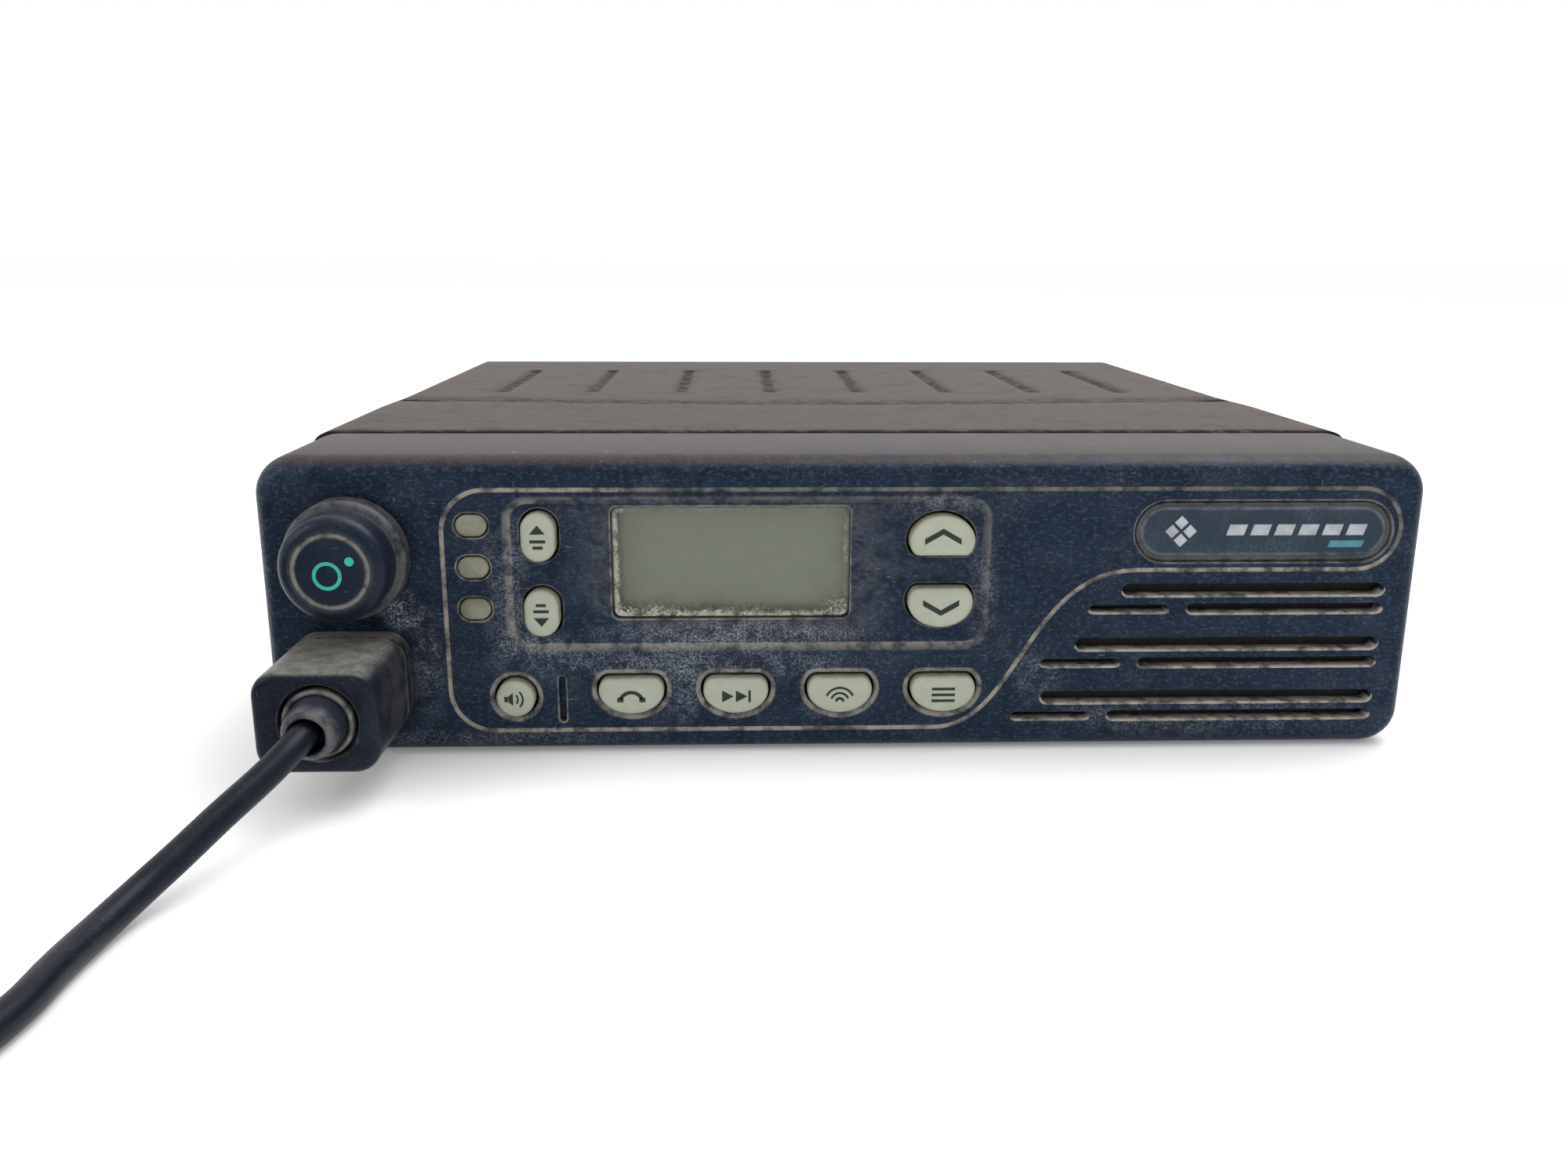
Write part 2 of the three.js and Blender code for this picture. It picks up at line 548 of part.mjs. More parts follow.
function buildPlug() {
  const width = PLUG.right - PLUG.left;
  const height = PLUG.top - PLUG.low;
  const x = (PLUG.left + PLUG.right) / 2;
  const z = (PLUG.low + PLUG.top) / 2;
  const roll = 2.2;
  const core = roundedRectangle(width - 2 * roll, height - 2 * roll, 1, x, z);
  const rolled = new THREE.ExtrudeGeometry(core, {
    depth: 26, bevelThickness: roll, bevelSize: roll, bevelSegments: 2, curveSegments: 2,
  });
  rolled.rotateX(Math.PI / 2).translate(0, PLUG.front + roll + 26, 0);
  const trimmed = cut(
    solid(rolled),
    box([-100, -50], [PLUG.back, FRONT + 30], [-5, 40]),
    rodY(BOSS.x, BOSS.z, BOSS.radius + 0.7, PLUG.front - 5, PLUG.front + 2.5, 20),
  );
  const nose = box([JACK.x - 5.6, JACK.x + 5.6], [PLUG.back - 1, FACE_BACK + 6], [JACK.z - 4.6, JACK.z + 4.6]);
  add("mic_plug", trimmed.add(solid(nose)), "black");
  const y = PLUG.front;
  const profile = [
    [0, y + 2.2], [BOSS.radius, y + 2.2], [BOSS.radius, y - 1.5], [BOSS.radius - 0.7, y - 3.4],
    [CORD_DIAMETER / 2 + 1, y - 5], [0, y - 5],
  ].reverse();
  add("plug_strain_relief", turned(profile, BOSS.x, BOSS.z, 20), "black");
}

// A tube of even section along a smooth curve through the route's points.
function tube(route, diameter, steps, sides = CORD_SIDES) {
  const path = new THREE.CatmullRomCurve3(route.map((point) => new THREE.Vector3(...point)));
  const section = new THREE.Shape();
  for (let i = 0; i < sides; i++) {
    const angle = (2 * Math.PI * (i + 0.5)) / sides;
    const x = (diameter / 2) * Math.cos(angle);
    section[i ? "lineTo" : "moveTo"](x, (diameter / 2) * Math.sin(angle));
  }
  return new THREE.ExtrudeGeometry(section, { steps, extrudePath: path, curveSegments: 1 });
}

const REST = CORD_DIAMETER / 2 + 0.05;
const CURL_REST = CURL_DIAMETER / 2 + 0.05;
const TAIL_ROUTE = [
  [BOSS.x - 0.8, PLUG.front - 6.2, BOSS.z - 0.5], [-73.4, -113.8, 10], [-76.8, -119.9, 7.4], [-79.6, -125, 5.1],
  [-82.1, -129.8, 3.2], [-83.8, -136.2, 2.1], [-84.5, -143.6, REST], [-84.6, -151, REST], [-86.2, -159.5, REST],
  [-89.4, -168, REST], [-92.2, -176, REST],
];
const CURL_ROUTE = [
  [-92.7, -176.4, CURL_REST], [-94, -187, CURL_REST], [-98.5, -197, CURL_REST], [-107, -205, CURL_REST],
  [-119, -209.5, CURL_REST], [-134, -211, CURL_REST], [-150, -211, CURL_REST], [-164, -208, CURL_REST],
  [-175, -200, CURL_REST], [-181.5, -188, CURL_REST], [-183.5, -172, CURL_REST], [-183.5, -154, CURL_REST],
  [-183.5, -136, CURL_REST], [-183.5, -118, CURL_REST],
];
const END_ROUTE = [
  [-183.5, -117.6, REST], [-183.3, -107, REST], [-180.6, -95, REST], [-174.5, -84.5, REST], [-166, -77.5, REST],
  [-157.5, -75.2, REST + 0.3], [-150.6, -77.6, 4.2], [-146.8, -83.2, 7], [-146, -89.5, 9], [-146, -94.7, 9.6],
];

function buildCord() {
  add("cord_tail", tube(TAIL_ROUTE, CORD_DIAMETER, 14), "black");
  add("cord_curl", tube(CURL_ROUTE, CURL_DIAMETER, 14, 12), "black");
  add("cord_end", tube(END_ROUTE, CORD_DIAMETER, 10), "black");
}

// The microphone is drawn lying flat with its cord end towards +Y, then tipped to rest on hook and lower edge.
function buildMicrophone() {
  const mic = new THREE.Group();
  const { width, length, thick, corner } = MIC;
  mic.position.set(MIC.x, MIC.y + length / 2, 0.05);
  mic.rotation.x = -MIC_TILT;
  const middle = -length / 2;
  const seam = thick * 0.45;
  const outline = (margin) => roundedRectangle(width - 2 * margin, length - 2 * margin, corner - margin, 0, middle);
  const ptt = { x: -width / 2, y: middle - 12, wide: 6, long: 38 };
  const notch = box([ptt.x - 5, ptt.x + 5], [ptt.y - ptt.long / 2 - 0.5, ptt.y + ptt.long / 2 + 0.5], [6, 19]);
  const rear = cut(
    solid(lying(outline(0), 0, seam)),
    lying(outline(2.2), 2.2, seam),
    notch,
    rodY(0, seam, 3.6, -5, 5, 12),
  );
  add("mic_rear_shell", rear, "black", mic);
  const front = new THREE.ExtrudeGeometry(outline(3), {
    depth: 2 * (thick - seam) - 6, bevelThickness: 3, bevelSize: 3, bevelSegments: 2, curveSegments: 3,
  });
  front.translate(0, 0, seam - (thick - seam) + 3 + 0.15);
  const slots = [-2, -1, 0, 1, 2].map((row) =>
    lying(roundedRectangle(30 - 3 * Math.abs(row), 1.8, 0.9, 0, middle - 14 + row * 4.6), thick - 6, 10, 3),
  );
  const shell = cut(
    solid(front),
    box([-40, 40], [-length - 10, 10], [-20, seam + 0.3]),
    lying(outline(2.4), seam - 1, thick - seam - 1.4),
    notch,
    rodY(0, seam, 3.6, -5, 5, 12),
    ...slots,
  );
  add("mic_front_shell", shell, "black", mic);
  const element = rodZ(0, middle - 14, 8, thick - 11, thick - 4, 16);
  add("mic_element", element, "steel", mic);
  add("mic_board", box([-18, 18], [middle + 2, middle + 32], [6, 7.4]), "board", mic);
  const hook = upright(
    [[0, -HOOK.high], [HOOK.radius, -HOOK.high], [HOOK.radius, -HOOK.high + 2], [3.2, -HOOK.high + 2.6], [3.2, -GAP], [0, -GAP]],
    0,
    middle + HOOK.y,
    16,
  );
  add("mic_hang_stud", hook, "steel", mic);
  const button = roundedRectangle(ptt.wide, ptt.long, 2.5, ptt.x + 1.5, ptt.y);
  add("ptt_button", lying(button, 7, 11), "rubber", mic);
  const relief = [[0, -3.6], [3.2, -3.6], [3.2, 3], [4.4, 3.3], [4.4, 5], [CORD_DIAMETER / 2 + 0.7, 17], [0, 17]];
  add("mic_strain_relief", turned(relief, 0, seam, 16), "rubber", mic);
  transceiver.add(mic);
}

buildBezel();
buildDisplay();
buildLampsAndBadge();
buildKeys();
buildKeypadAndBoard();
buildVolumeControl();
buildJack();
buildSpeaker();
buildChassis();
buildTopCover();
buildBottomPlate();
buildElectronics();
buildRearSockets();
buildPlug();
buildCord();
buildMicrophone();

export default transceiver;
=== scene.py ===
import json
from math import atan2, cos, hypot, pi, radians, sin

import bmesh
import bpy
import numpy as np
from mathutils import Matrix, Vector
from mathutils.geometry import delaunay_2d_cdt

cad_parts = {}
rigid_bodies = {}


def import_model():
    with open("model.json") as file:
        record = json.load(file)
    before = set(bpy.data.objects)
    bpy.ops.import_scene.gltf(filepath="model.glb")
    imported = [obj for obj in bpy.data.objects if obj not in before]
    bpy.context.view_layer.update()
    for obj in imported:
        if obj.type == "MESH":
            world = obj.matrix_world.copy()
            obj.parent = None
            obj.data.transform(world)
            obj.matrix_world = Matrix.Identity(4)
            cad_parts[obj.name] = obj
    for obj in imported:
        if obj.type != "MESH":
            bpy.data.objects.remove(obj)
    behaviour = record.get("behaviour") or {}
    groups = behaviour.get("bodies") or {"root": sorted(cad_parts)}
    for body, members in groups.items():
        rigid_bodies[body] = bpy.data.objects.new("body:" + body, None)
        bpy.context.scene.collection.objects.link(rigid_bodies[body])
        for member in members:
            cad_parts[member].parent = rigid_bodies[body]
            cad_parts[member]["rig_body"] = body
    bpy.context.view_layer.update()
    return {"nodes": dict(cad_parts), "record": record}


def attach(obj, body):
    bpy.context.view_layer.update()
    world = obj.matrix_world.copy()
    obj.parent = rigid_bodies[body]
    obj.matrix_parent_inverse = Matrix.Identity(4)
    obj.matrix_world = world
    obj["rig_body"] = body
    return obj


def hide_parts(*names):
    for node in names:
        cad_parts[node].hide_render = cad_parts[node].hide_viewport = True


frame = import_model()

# Lengths are in millimetres and scaled by MM as they go into Blender.
MM = 0.001

# Camera, in metres and radians
LENS = 29.82
SENSOR = 36.0
EYE = (-0.01558, -0.26313, 0.07238)
YAW, PITCH, ROLL = -0.0353, 0.2557, 0.0045

# Casing
WIDTH, HEIGHT = 168.0, 44.0
FRONT, REAR = -82.5, 82.5
FACE_WALL = 2.5
BEZEL_REAR = -57.0
BEZEL_WALL = 2.0
BEZEL_CORNER = 5.6
ROLL_IN, ROLL_BACK = 2.5, 4.4
BODY_HALF = 83.3
BODY_FRONT = -56.2
COVER_THICK = 1.4
COVER_LOW = 15.0
COVER_ROLL = 3.0
COVER_REAR = REAR - 0.5

# Front panel features, in the panel's plane
LOOP = dict(left=-58.0, bottom=3.3, top=39.8, corner=6.5)
TONGUE = dict(x=74.1, z=33.5, radius=6.3)
GROOVE_WIDTH, GROOVE_DEEP = 0.7, 0.3
PANEL = dict(x=-14.3, z=27.1, width=69.4, height=22.6, corner=3.4, deep=0.6)
WINDOW = dict(x=-16.8, z=28.7, width=34.3, height=16.6, corner=1.0)
BADGE = dict(x=60.0, z=33.2, width=37.6, height=9.0, corner=4.5, deep=0.9)
LAMPS = dict(lamp_window_upper=34.4, lamp_window_middle=28.3, lamp_window_lower=22.2)
LAMP_X, LAMP_WIDTH, LAMP_HEIGHT = -53.4, 4.4, 3.1
DIVIDER = dict(x=-41.5, low=4.95, high=12.0)
JACK = dict(x=-71.2, z=11.6, width=13.0, height=11.0, corner=1.5)
KNOB = dict(x=-70.4, z=30.2, radius=8.6, top=7.45, reach=9.9)
KNOB_HOLE = 8.0
INLAY_GAP = 0.6
KEY_CLEARANCE = 0.35
KEY_REACH = 1.2
SLOT_RIGHT, SLOT_TOP, SLOT_PITCH = 78.5, 24.6, 8.2
SLOT_STARTS = ((40.1, 35.4), (33.7, 28.7), (29.0, 24.7))
SLOT_DROP, SHORT_SLOT, SLOT_BREAK = 2.85, 11.5, 14.4

# Cover: channels, a step with a groove at its foot that bows forward in the middle, and bracket holes
CHANNELS = [(-64.4 + 18.4 * i, 32.0) for i in range(8)]
CHANNEL_LONG, CHANNEL_HALF, CHANNEL_DEEP = 50.0, 1.7, 0.6
STEP_DEEP, STEP_MIDDLE, STEP_BOW = 0.4, -18.0, 8.0
LINE_DEEP = 0.55
BRACKET_HOLE = dict(radius=3.0, y=22.0, z=26.0)

# Microphone plug
PLUG = dict(back=FRONT - 0.3, front=FRONT - 20.0, left=-79.0, right=-62.8, low=5.3, top=19.2)
PLUG_CORNER, PLUG_ROLL = 3.4, 1.2
NOSE = dict(width=11.2, height=9.2, corner=0.8, x=JACK["x"], z=JACK["z"])
BOSS = dict(x=-70.4, z=12.4, radius=4.7)

# Hand microphone, in its own frame: cord end at y = 0, length towards -y, back at z = 0
MIC = dict(x=-146.0, y=-113.0, width=54.0, length=84.0, thick=25.0, corner=13.0)
SEAM = 11.25
SHELL = 2.2
BACK_ROLL, GRILLE_ROLL = 4.5, 6.0
BUTTON = dict(back=12.0, z=12.5, length=38.0, width=11.0, room=1.4, thick=6.0)
NOTCH = dict(width=10.0, low=6.0, high=19.0, corner=2.6, edge=0.6)
GRILLE = dict(widest=33.0, high=1.3, pitch=2.9, centre=-15.0)
LABEL = dict(width=30.0, height=20.0, corner=4.0, centre=24.0, deep=0.7)
CORD_WAY = 3.7
RIB = dict(wide=1.1, long=7.4, pitch=2.7)
HOOK = dict(radius=6.5, high=5.0, y=-62.0)
MIC_TILT = atan2(HOOK["high"], -HOOK["y"] - HOOK["radius"])

# Microphone cord
CORD = 3.8
CURL = 15.0
CURL_PITCH = 4.9
LEAD_IN = 14.0
REST = CORD / 2 + 0.05
CURL_REST = CURL / 2 + 0.05
TAIL_ROUTE = [
    (-70.9, -104.6, 12.5), (-71.2, -108.7, 12.1), (-73.4, -113.8, 10.0), (-76.8, -119.9, 7.4),
    (-79.6, -125.0, 5.1), (-82.1, -129.8, 3.2), (-83.8, -136.2, 2.1), (-84.5, -143.6, REST),
    (-84.6, -151.0, REST), (-86.2, -159.5, REST), (-89.4, -168.0, REST),
]
CURL_ROUTE = [
    (-92.5, -176.4), (-94.0, -187.0), (-98.5, -197.0), (-107.0, -205.0), (-119.0, -209.5),
    (-134.0, -211.0), (-150.0, -211.0), (-164.0, -208.0), (-175.0, -200.0), (-181.5, -188.0),
    (-183.5, -172.0), (-183.5, -154.0), (-183.5, -136.0), (-183.5, -118.0),
]
END_ROUTE = [
    (-183.5, -112.0, REST), (-183.3, -107.0, REST), (-180.6, -95.0, REST), (-174.5, -84.5, REST),
    (-166.0, -77.5, REST), (-157.5, -75.2, REST + 0.3), (-150.6, -77.6, 4.2), (-146.8, -83.2, 7.0),
    (-146.0, -89.5, 9.0), (-146.0, -96.0, 9.75),
]

# The way delaunay_2d_cdt gives only the triangles inside a ring and outside its holes
INSIDE_ROUND_HOLES = 5

# Colours of dust; a brown for upward faces, which is dust and a painted reflection; and the cool tint of
# reflections on black plastic
DUST = (0.38, 0.35, 0.30)
POWDER = (0.36, 0.38, 0.41)
TOP_DUST_AND_LIGHT = (0.17, 0.12, 0.085)
COOL = (0.6, 0.75, 1.0)

# Where powder lies on the display lens and on the front panel, as (x, z, half width, half height, amount)
CLOUDED = [
    (-17, 20.6, 24, 2.2, 1.0), (-30, 20.9, 8, 3.0, 0.8), (-33.8, 28, 2.0, 11, 0.8),
    (-2, 21.6, 4, 3.2, 0.7), (0.1, 30, 1.6, 9, 0.45), (-17, 37, 20, 1.0, 0.35),
]
POWDERED = [
    (-17, 18.2, 26, 2.8, 0.75), (-47.6, 27, 2.4, 13, 0.6), (-45.5, 17, 8, 3.2, 0.7),
    (-24, 13.8, 34, 4.2, 0.5), (13, 37.0, 8, 2.4, 0.55), (19.6, 24, 3.0, 10, 0.35),
    (-60.6, 14, 3.4, 12, 0.35), (-64, 22, 4.5, 4.0, 0.9), (-55, 2.5, 30, 2, 0.3), (52, 5, 32, 4, 0.3),
    (28, 12, 6, 6, 0.3), (-4, 9, 3.5, 6, 0.4), (-24, 9, 3.5, 6, 0.45), (-50, 24, 3, 14, 0.3),
]


# ---- Materials: each finish puts its material in LOOK ----

LOOK = {}


class Shader:
    """A Principled material with a few short ways to add nodes."""

    def __init__(self, name):
        self.material = bpy.data.materials.new(name)
        self.material.use_nodes = True
        self.tree = self.material.node_tree
        self.out = self.tree.nodes["Principled BSDF"]
        self.place = self.node("TexCoord").outputs["Object"]

    def node(self, kind, inputs=None, **settings):
        node = self.tree.nodes.new("ShaderNode" + kind)
        for name, value in settings.items():
            setattr(node, name, value)
        self.feed(node, inputs or {})
        return node

    def put(self, socket, value):
        """Links a socket, or sets its own value. A colour is given without its alpha."""
        if isinstance(value, bpy.types.NodeSocket):
            self.tree.links.new(value, socket)
        else:
            socket.default_value = (*value, 1.0) if socket.type == "RGBA" else value

    def feed(self, node, inputs):
        for name, value in inputs.items():
            self.put(node.inputs[name], value)

    def mapped(self, scale, location):
        place = self.node("Mapping", {"Vector": self.place, "Scale": scale, "Location": location})
        return place.outputs["Vector"]

    def noise(self, size, detail, rough, stretch=(1, 1, 1), shift=0.0):
        """Noise whose blotches are about size millimetres across."""
        place = self.mapped(tuple(k / (size * MM) for k in stretch), (shift,) * 3)
        return self.node(
            "TexNoise",
            {"Vector": place, "Scale": 1.0, "Detail": detail, "Roughness": rough},
        ).outputs["Fac"]

    def ramp(self, value, low, high, start=0.0, stop=1.0):
        return self.node(
            "MapRange",
            {"Value": value, "From Min": low, "From Max": high, "To Min": start, "To Max": stop},
            interpolation_type="SMOOTHSTEP",
        ).outputs["Result"]

    def math(self, operation, a, b, clamp=False):
        node = self.node("Math", operation=operation, use_clamp=clamp)
        for socket, value in zip(node.inputs, (a, b)):
            self.put(socket, value)
        return node.outputs["Value"]

    def times(self, a, b):
        return self.math("MULTIPLY", a, b)

    def plus(self, a, b):
        """The sum, and at most 1."""
        return self.math("ADD", a, b, clamp=True)

    def blend(self, share, a, b):
        node = self.node("Mix", data_type="RGBA")
        for socket, value in zip([node.inputs[k] for k in (0, 6, 7)], (share, a, b)):
            self.put(socket, value)
        return node.outputs[2]

    def heap(self, x, z, across, up):
        """1 at a point of the front panel, falling to 0 at an ellipse round it, and 9 mm deep."""
        scale = (1 / (across * MM), 1 / (9 * MM), 1 / (up * MM))
        place = self.mapped(scale, tuple(-k * s * MM for k, s in zip((x, FRONT, z), scale)))
        return self.node("TexGradient", {"Vector": place}, gradient_type="SPHERICAL").outputs["Fac"]

    def mark(self, name):
        return self.node("Attribute", attribute_name=name).outputs["Fac"]

    def raise_by(self, height, strength, deep):
        """Bumps the surface by a height of up to deep millimetres."""
        inputs = {"Height": height, "Strength": strength, "Distance": deep * MM}
        self.feed(self.out, {"Normal": self.node("Bump", inputs).outputs["Normal"]})

    def upward(self):
        normal = self.node("NewGeometry").outputs["Normal"]
        return self.node("SeparateXYZ", {"Vector": normal}).outputs["Z"]


def worn(
    name, color, rough, metal=0.0, specular=0.5, tint=(1, 1, 1), grain=0.0, grain_size=0.35, grain_glints=0.0,
    mottle=0.15, patches=0.0, specks=0.0, powder=(), loose=POWDER, top_dust_and_light=0.0, brown=TOP_DUST_AND_LIGHT, dust=DUST,
    scratches=0.0, alpha=1.0, glow=0.0,
):
    """A used surface: a mottled base with moulded grain and lighter flecks on the grain that are painted
    glints, a tint on upward faces that is dust and a painted reflection, loose powder in patches, specks,
    heaps and scratches, and packed dust, which on some pieces is painted shade, where the mesh's attribute
    says. Amounts are 0 to 1."""
    s = Shader(name)
    fine = s.noise(0.32, 3.0, 0.7, shift=5.0)
    middle = s.noise(2.4, 4.0, 0.65, shift=11.0)
    relief = s.noise(grain_size, 2.0, 0.6, stretch=(0.6, 0.6, 1.0), shift=2.0)
    darker, lighter = ([c * (1 + k) for c in color] for k in (-mottle, mottle))
    base = s.blend(s.ramp(middle, 0.3, 0.7), darker, lighter)
    # Lighter flecks on the raised bits of the grain: painted glints of the grain
    if grain_glints:
        glint_colour = [c * 2.6 + 0.012 for c in color]
        base = s.blend(s.times(s.ramp(relief, 0.50, 0.68), grain_glints), base, glint_colour)
    # Upward faces take a tint that is partly settled dust and partly a painted reflection, so the tops come
    # out browner or lighter
    if top_dust_and_light:
        uneven = s.times(s.ramp(middle, 0.3, 0.7, 0.5, 1.0), s.ramp(fine, 0.3, 0.65, 0.6, 1.0))
        top_dust_and_light_share = s.times(s.times(s.ramp(s.upward(), 0.55, 1.0), uneven), top_dust_and_light)
        base = s.blend(top_dust_and_light_share, base, brown)
    film = s.ramp(fine, 0.60, 0.72, 0.0, specks)
    if patches:
        cloud = s.times(s.ramp(s.noise(9.0, 5.0, 0.6), 0.46, 0.72), s.ramp(fine, 0.38, 0.66))
        film = s.plus(film, s.times(cloud, patches))
    grit = s.times(s.ramp(fine, 0.40, 0.66), s.ramp(middle, 0.36, 0.62, 0.15, 1.0))
    for x, z, across, up, amount in powder:
        lump = s.ramp(s.heap(x, z, across, up), 0.0, 0.75, 0.0, amount)
        film = s.plus(film, s.times(lump, grit))
    if scratches:
        line = s.noise(2.6, 2.0, 0.5, stretch=(1.0, 1.0, 14.0), shift=3.0)
        cross = s.noise(2.2, 2.0, 0.5, stretch=(12.0, 4.0, 1.0), shift=7.0)
        both = s.plus(s.ramp(line, 0.74, 0.78), s.ramp(cross, 0.74, 0.78))
        film = s.plus(film, s.times(both, scratches))
    # Packed dust where the mesh's attribute says; on the cover it is painted shade, and on the keys' side
    # walls dirt and painted shade
    caked_dust_and_shade = s.times(s.mark("dust"), s.ramp(middle, 0.34, 0.60, 0.2, 1.0))
    cover = s.plus(film, caked_dust_and_shade)
    s.feed(s.out, {
        "Base Color": s.blend(caked_dust_and_shade, s.blend(film, base, loose), dust),
        "Roughness": s.ramp(cover, 0.0, 0.8, rough, 0.95),
        "Metallic": metal,
        "Specular IOR Level": specular,
        "Specular Tint": tint,
        "Emission Color": (1, 1, 1),
        "Emission Strength": glow,
    })
    if alpha < 1:
        s.feed(s.out, {"Alpha": s.ramp(cover, 0.0, 0.9, alpha, 1.0)})
    if grain:
        height = s.plus(s.times(relief, 0.6), s.times(cover, 0.35))
        s.raise_by(height, grain, 0.12)
    LOOK[name] = s.material


def brushed(name, color, rough):
    s = Shader(name)
    streak = s.noise(0.9, 3.0, 0.6, stretch=(0.06, 1.0, 1.0))
    stain = s.noise(7.0, 4.0, 0.6, shift=4.0)
    s.feed(s.out, {
        "Base Color": s.blend(s.ramp(stain, 0.35, 0.75), color, [c * 0.7 for c in color]),
        "Roughness": s.ramp(streak, 0.2, 0.8, rough * 0.8, rough * 1.35),
        "Metallic": 1.0,
    })
    s.raise_by(streak, 0.15, 0.03)
    LOOK[name] = s.material


def woven(name, color, thread):
    """Cloth with threads about thread millimetres apart."""
    s = Shader(name)
    waves = []
    for axis in ("X", "Z"):
        inputs = {"Vector": s.place, "Scale": 0.32 / (thread * MM), "Distortion": 1.2}
        waves.append(s.node("TexWave", inputs, bands_direction=axis).outputs["Fac"])
    cloth = s.times(*waves)
    fuzz = s.noise(1.6, 4.0, 0.7)
    light = s.ramp(s.plus(s.times(cloth, 0.5), s.times(fuzz, 0.6)), 0.2, 0.8)
    s.feed(s.out, {
        "Base Color": s.blend(light, [c * 0.45 for c in color], [min(1, c * 1.25) for c in color]),
        "Roughness": 0.95,
    })
    s.raise_by(cloth, 0.6, 0.15)
    LOOK[name] = s.material


def make_materials():
    # The bezel's lighter grain flecks are painted glints, and its brown on upward faces is dust and a painted
    # reflection
    worn(
        "bezel", (0.0078, 0.0134, 0.0262), 0.44, specular=0.17, tint=(0.50, 0.72, 1.0), grain=1.0,
        grain_size=0.5, grain_glints=0.8, mottle=0.3, patches=0.08, specks=0.10, powder=POWDERED, top_dust_and_light=1.0,
        brown=(0.052, 0.030, 0.020), scratches=0.5,
    )
    # The cover's attribute colour is near black: painted shade along its seam, behind its step and in its
    # channels. Its brown on upward faces is dust and a painted reflection
    worn(
        "cover", (0.034, 0.022, 0.016), 0.45, specular=0.16, tint=(0.6, 0.45, 0.36), grain=0.3,
        grain_size=0.6, mottle=0.3, patches=0.35, loose=(0.020, 0.015, 0.013), top_dust_and_light=0.5,
        brown=(0.058, 0.037, 0.026), dust=(0.008, 0.007, 0.008),
    )
    worn(
        "casting", (0.012, 0.012, 0.013), 0.5, metal=0.2, grain=0.7, grain_size=0.8, patches=0.15,
        top_dust_and_light=0.3,
    )
    brushed("steel", (0.55, 0.56, 0.57), 0.32)
    brushed("brass", (0.62, 0.46, 0.20), 0.34)
    # The keys' darker brown attribute colour is dirt and painted shade on their side walls
    worn(
        "key", (0.355, 0.38, 0.30), 0.40, specular=0.4, grain=0.05, mottle=0.06, specks=0.08,
        loose=(0.2, 0.18, 0.12), dust=(0.14, 0.12, 0.07),
    )
    worn("print", (0.016, 0.022, 0.018), 0.6, specular=0.3, mottle=0.2)
    worn(
        "rubber", (0.0045, 0.006, 0.010), 0.36, specular=0.2, tint=COOL, grain=0.06, patches=0.06,
        specks=0.03, top_dust_and_light=0.05,
    )
    # On black parts the flecks are painted glints, and the light grey on upward faces is dust and painted
    # light from above
    worn(
        "black", (0.005, 0.007, 0.013), 0.40, specular=0.2, tint=COOL, grain=0.3, grain_glints=0.3,
        patches=0.08, specks=0.05, top_dust_and_light=0.9, brown=(0.25, 0.24, 0.21), scratches=0.35,
    )
    worn(
        "knob", (0.0065, 0.010, 0.019), 0.34, specular=0.24, tint=COOL, grain=0.06, patches=0.06,
        specks=0.05, top_dust_and_light=0.12, brown=(0.11, 0.10, 0.09), scratches=0.4,
    )
    worn(
        "lens", (0.15, 0.165, 0.13), 0.12, specular=0.5, mottle=0.04, powder=CLOUDED,
        loose=(0.60, 0.57, 0.50), alpha=0.0,
    )
    worn(
        "lamp", (0.21, 0.21, 0.15), 0.4, specular=0.4, mottle=0.18, patches=0.2, dust=(0.13, 0.12, 0.08),
    )
    worn("lcd", (0.14, 0.155, 0.115), 0.3, specular=0.4, mottle=0.05)
    worn("board", (0.02, 0.11, 0.05), 0.35, mottle=0.3)
    worn(
        "badge", (0.012, 0.020, 0.031), 0.3, specular=0.35, tint=(0.6, 0.8, 1.0), patches=0.12,
        specks=0.08,
    )
    worn("rim", (0.035, 0.04, 0.048), 0.4, metal=0.3, mottle=0.2, patches=0.2)
    worn("silver", (0.34, 0.36, 0.38), 0.4, metal=0.3, mottle=0.2, specks=0.1)
    worn("teal", (0.02, 0.42, 0.30), 0.45, mottle=0.1, specks=0.1)
    worn("blue", (0.04, 0.19, 0.24), 0.45, mottle=0.15, specks=0.1)
    woven("felt", (0.035, 0.032, 0.028), 0.45)
    worn("paper", (0.02, 0.018, 0.016), 0.9, grain=0.4)
    worn("ferrite", (0.035, 0.035, 0.04), 0.55, metal=0.3, grain=0.5)
    worn("plastic_white", (0.66, 0.66, 0.61), 0.5, mottle=0.05)
    worn("floor", (0.94, 0.94, 0.94), 0.9, specular=0.0, mottle=0.005, glow=0.14)


# ---- Outlines: closed lines of evenly spaced points, anticlockwise, as arrays of (across, up) ----

def arc(x, z, radius, start, stop):
    count = max(3, round(abs(stop - start) / 7))
    angles = np.radians(np.linspace(start, stop, count + 1))
    return [(x + radius * cos(a), z + radius * sin(a)) for a in angles]


def distance_along(line):
    """How far along a line each of its points lies."""
    return np.concatenate([[0], np.cumsum(np.linalg.norm(np.diff(line, axis=0), axis=1))])


def points_at(line, distances):
    along = distance_along(line)
    return np.stack([np.interp(distances, along, line[:, k]) for k in range(line.shape[1])], axis=1)


def unit(rows):
    return rows / np.linalg.norm(rows, axis=1)[:, None]


def evenly(points, step):
    """The closed line through the points, as points about a step apart."""
    p = np.array(points, float)
    p = p[np.linalg.norm(p - np.roll(p, 1, axis=0), axis=1) > 1e-6]
    p = np.vstack([p, p[:1]])
    long = distance_along(p)[-1]
    return points_at(p, np.linspace(0, long, max(12, round(long / step)), endpoint=False))


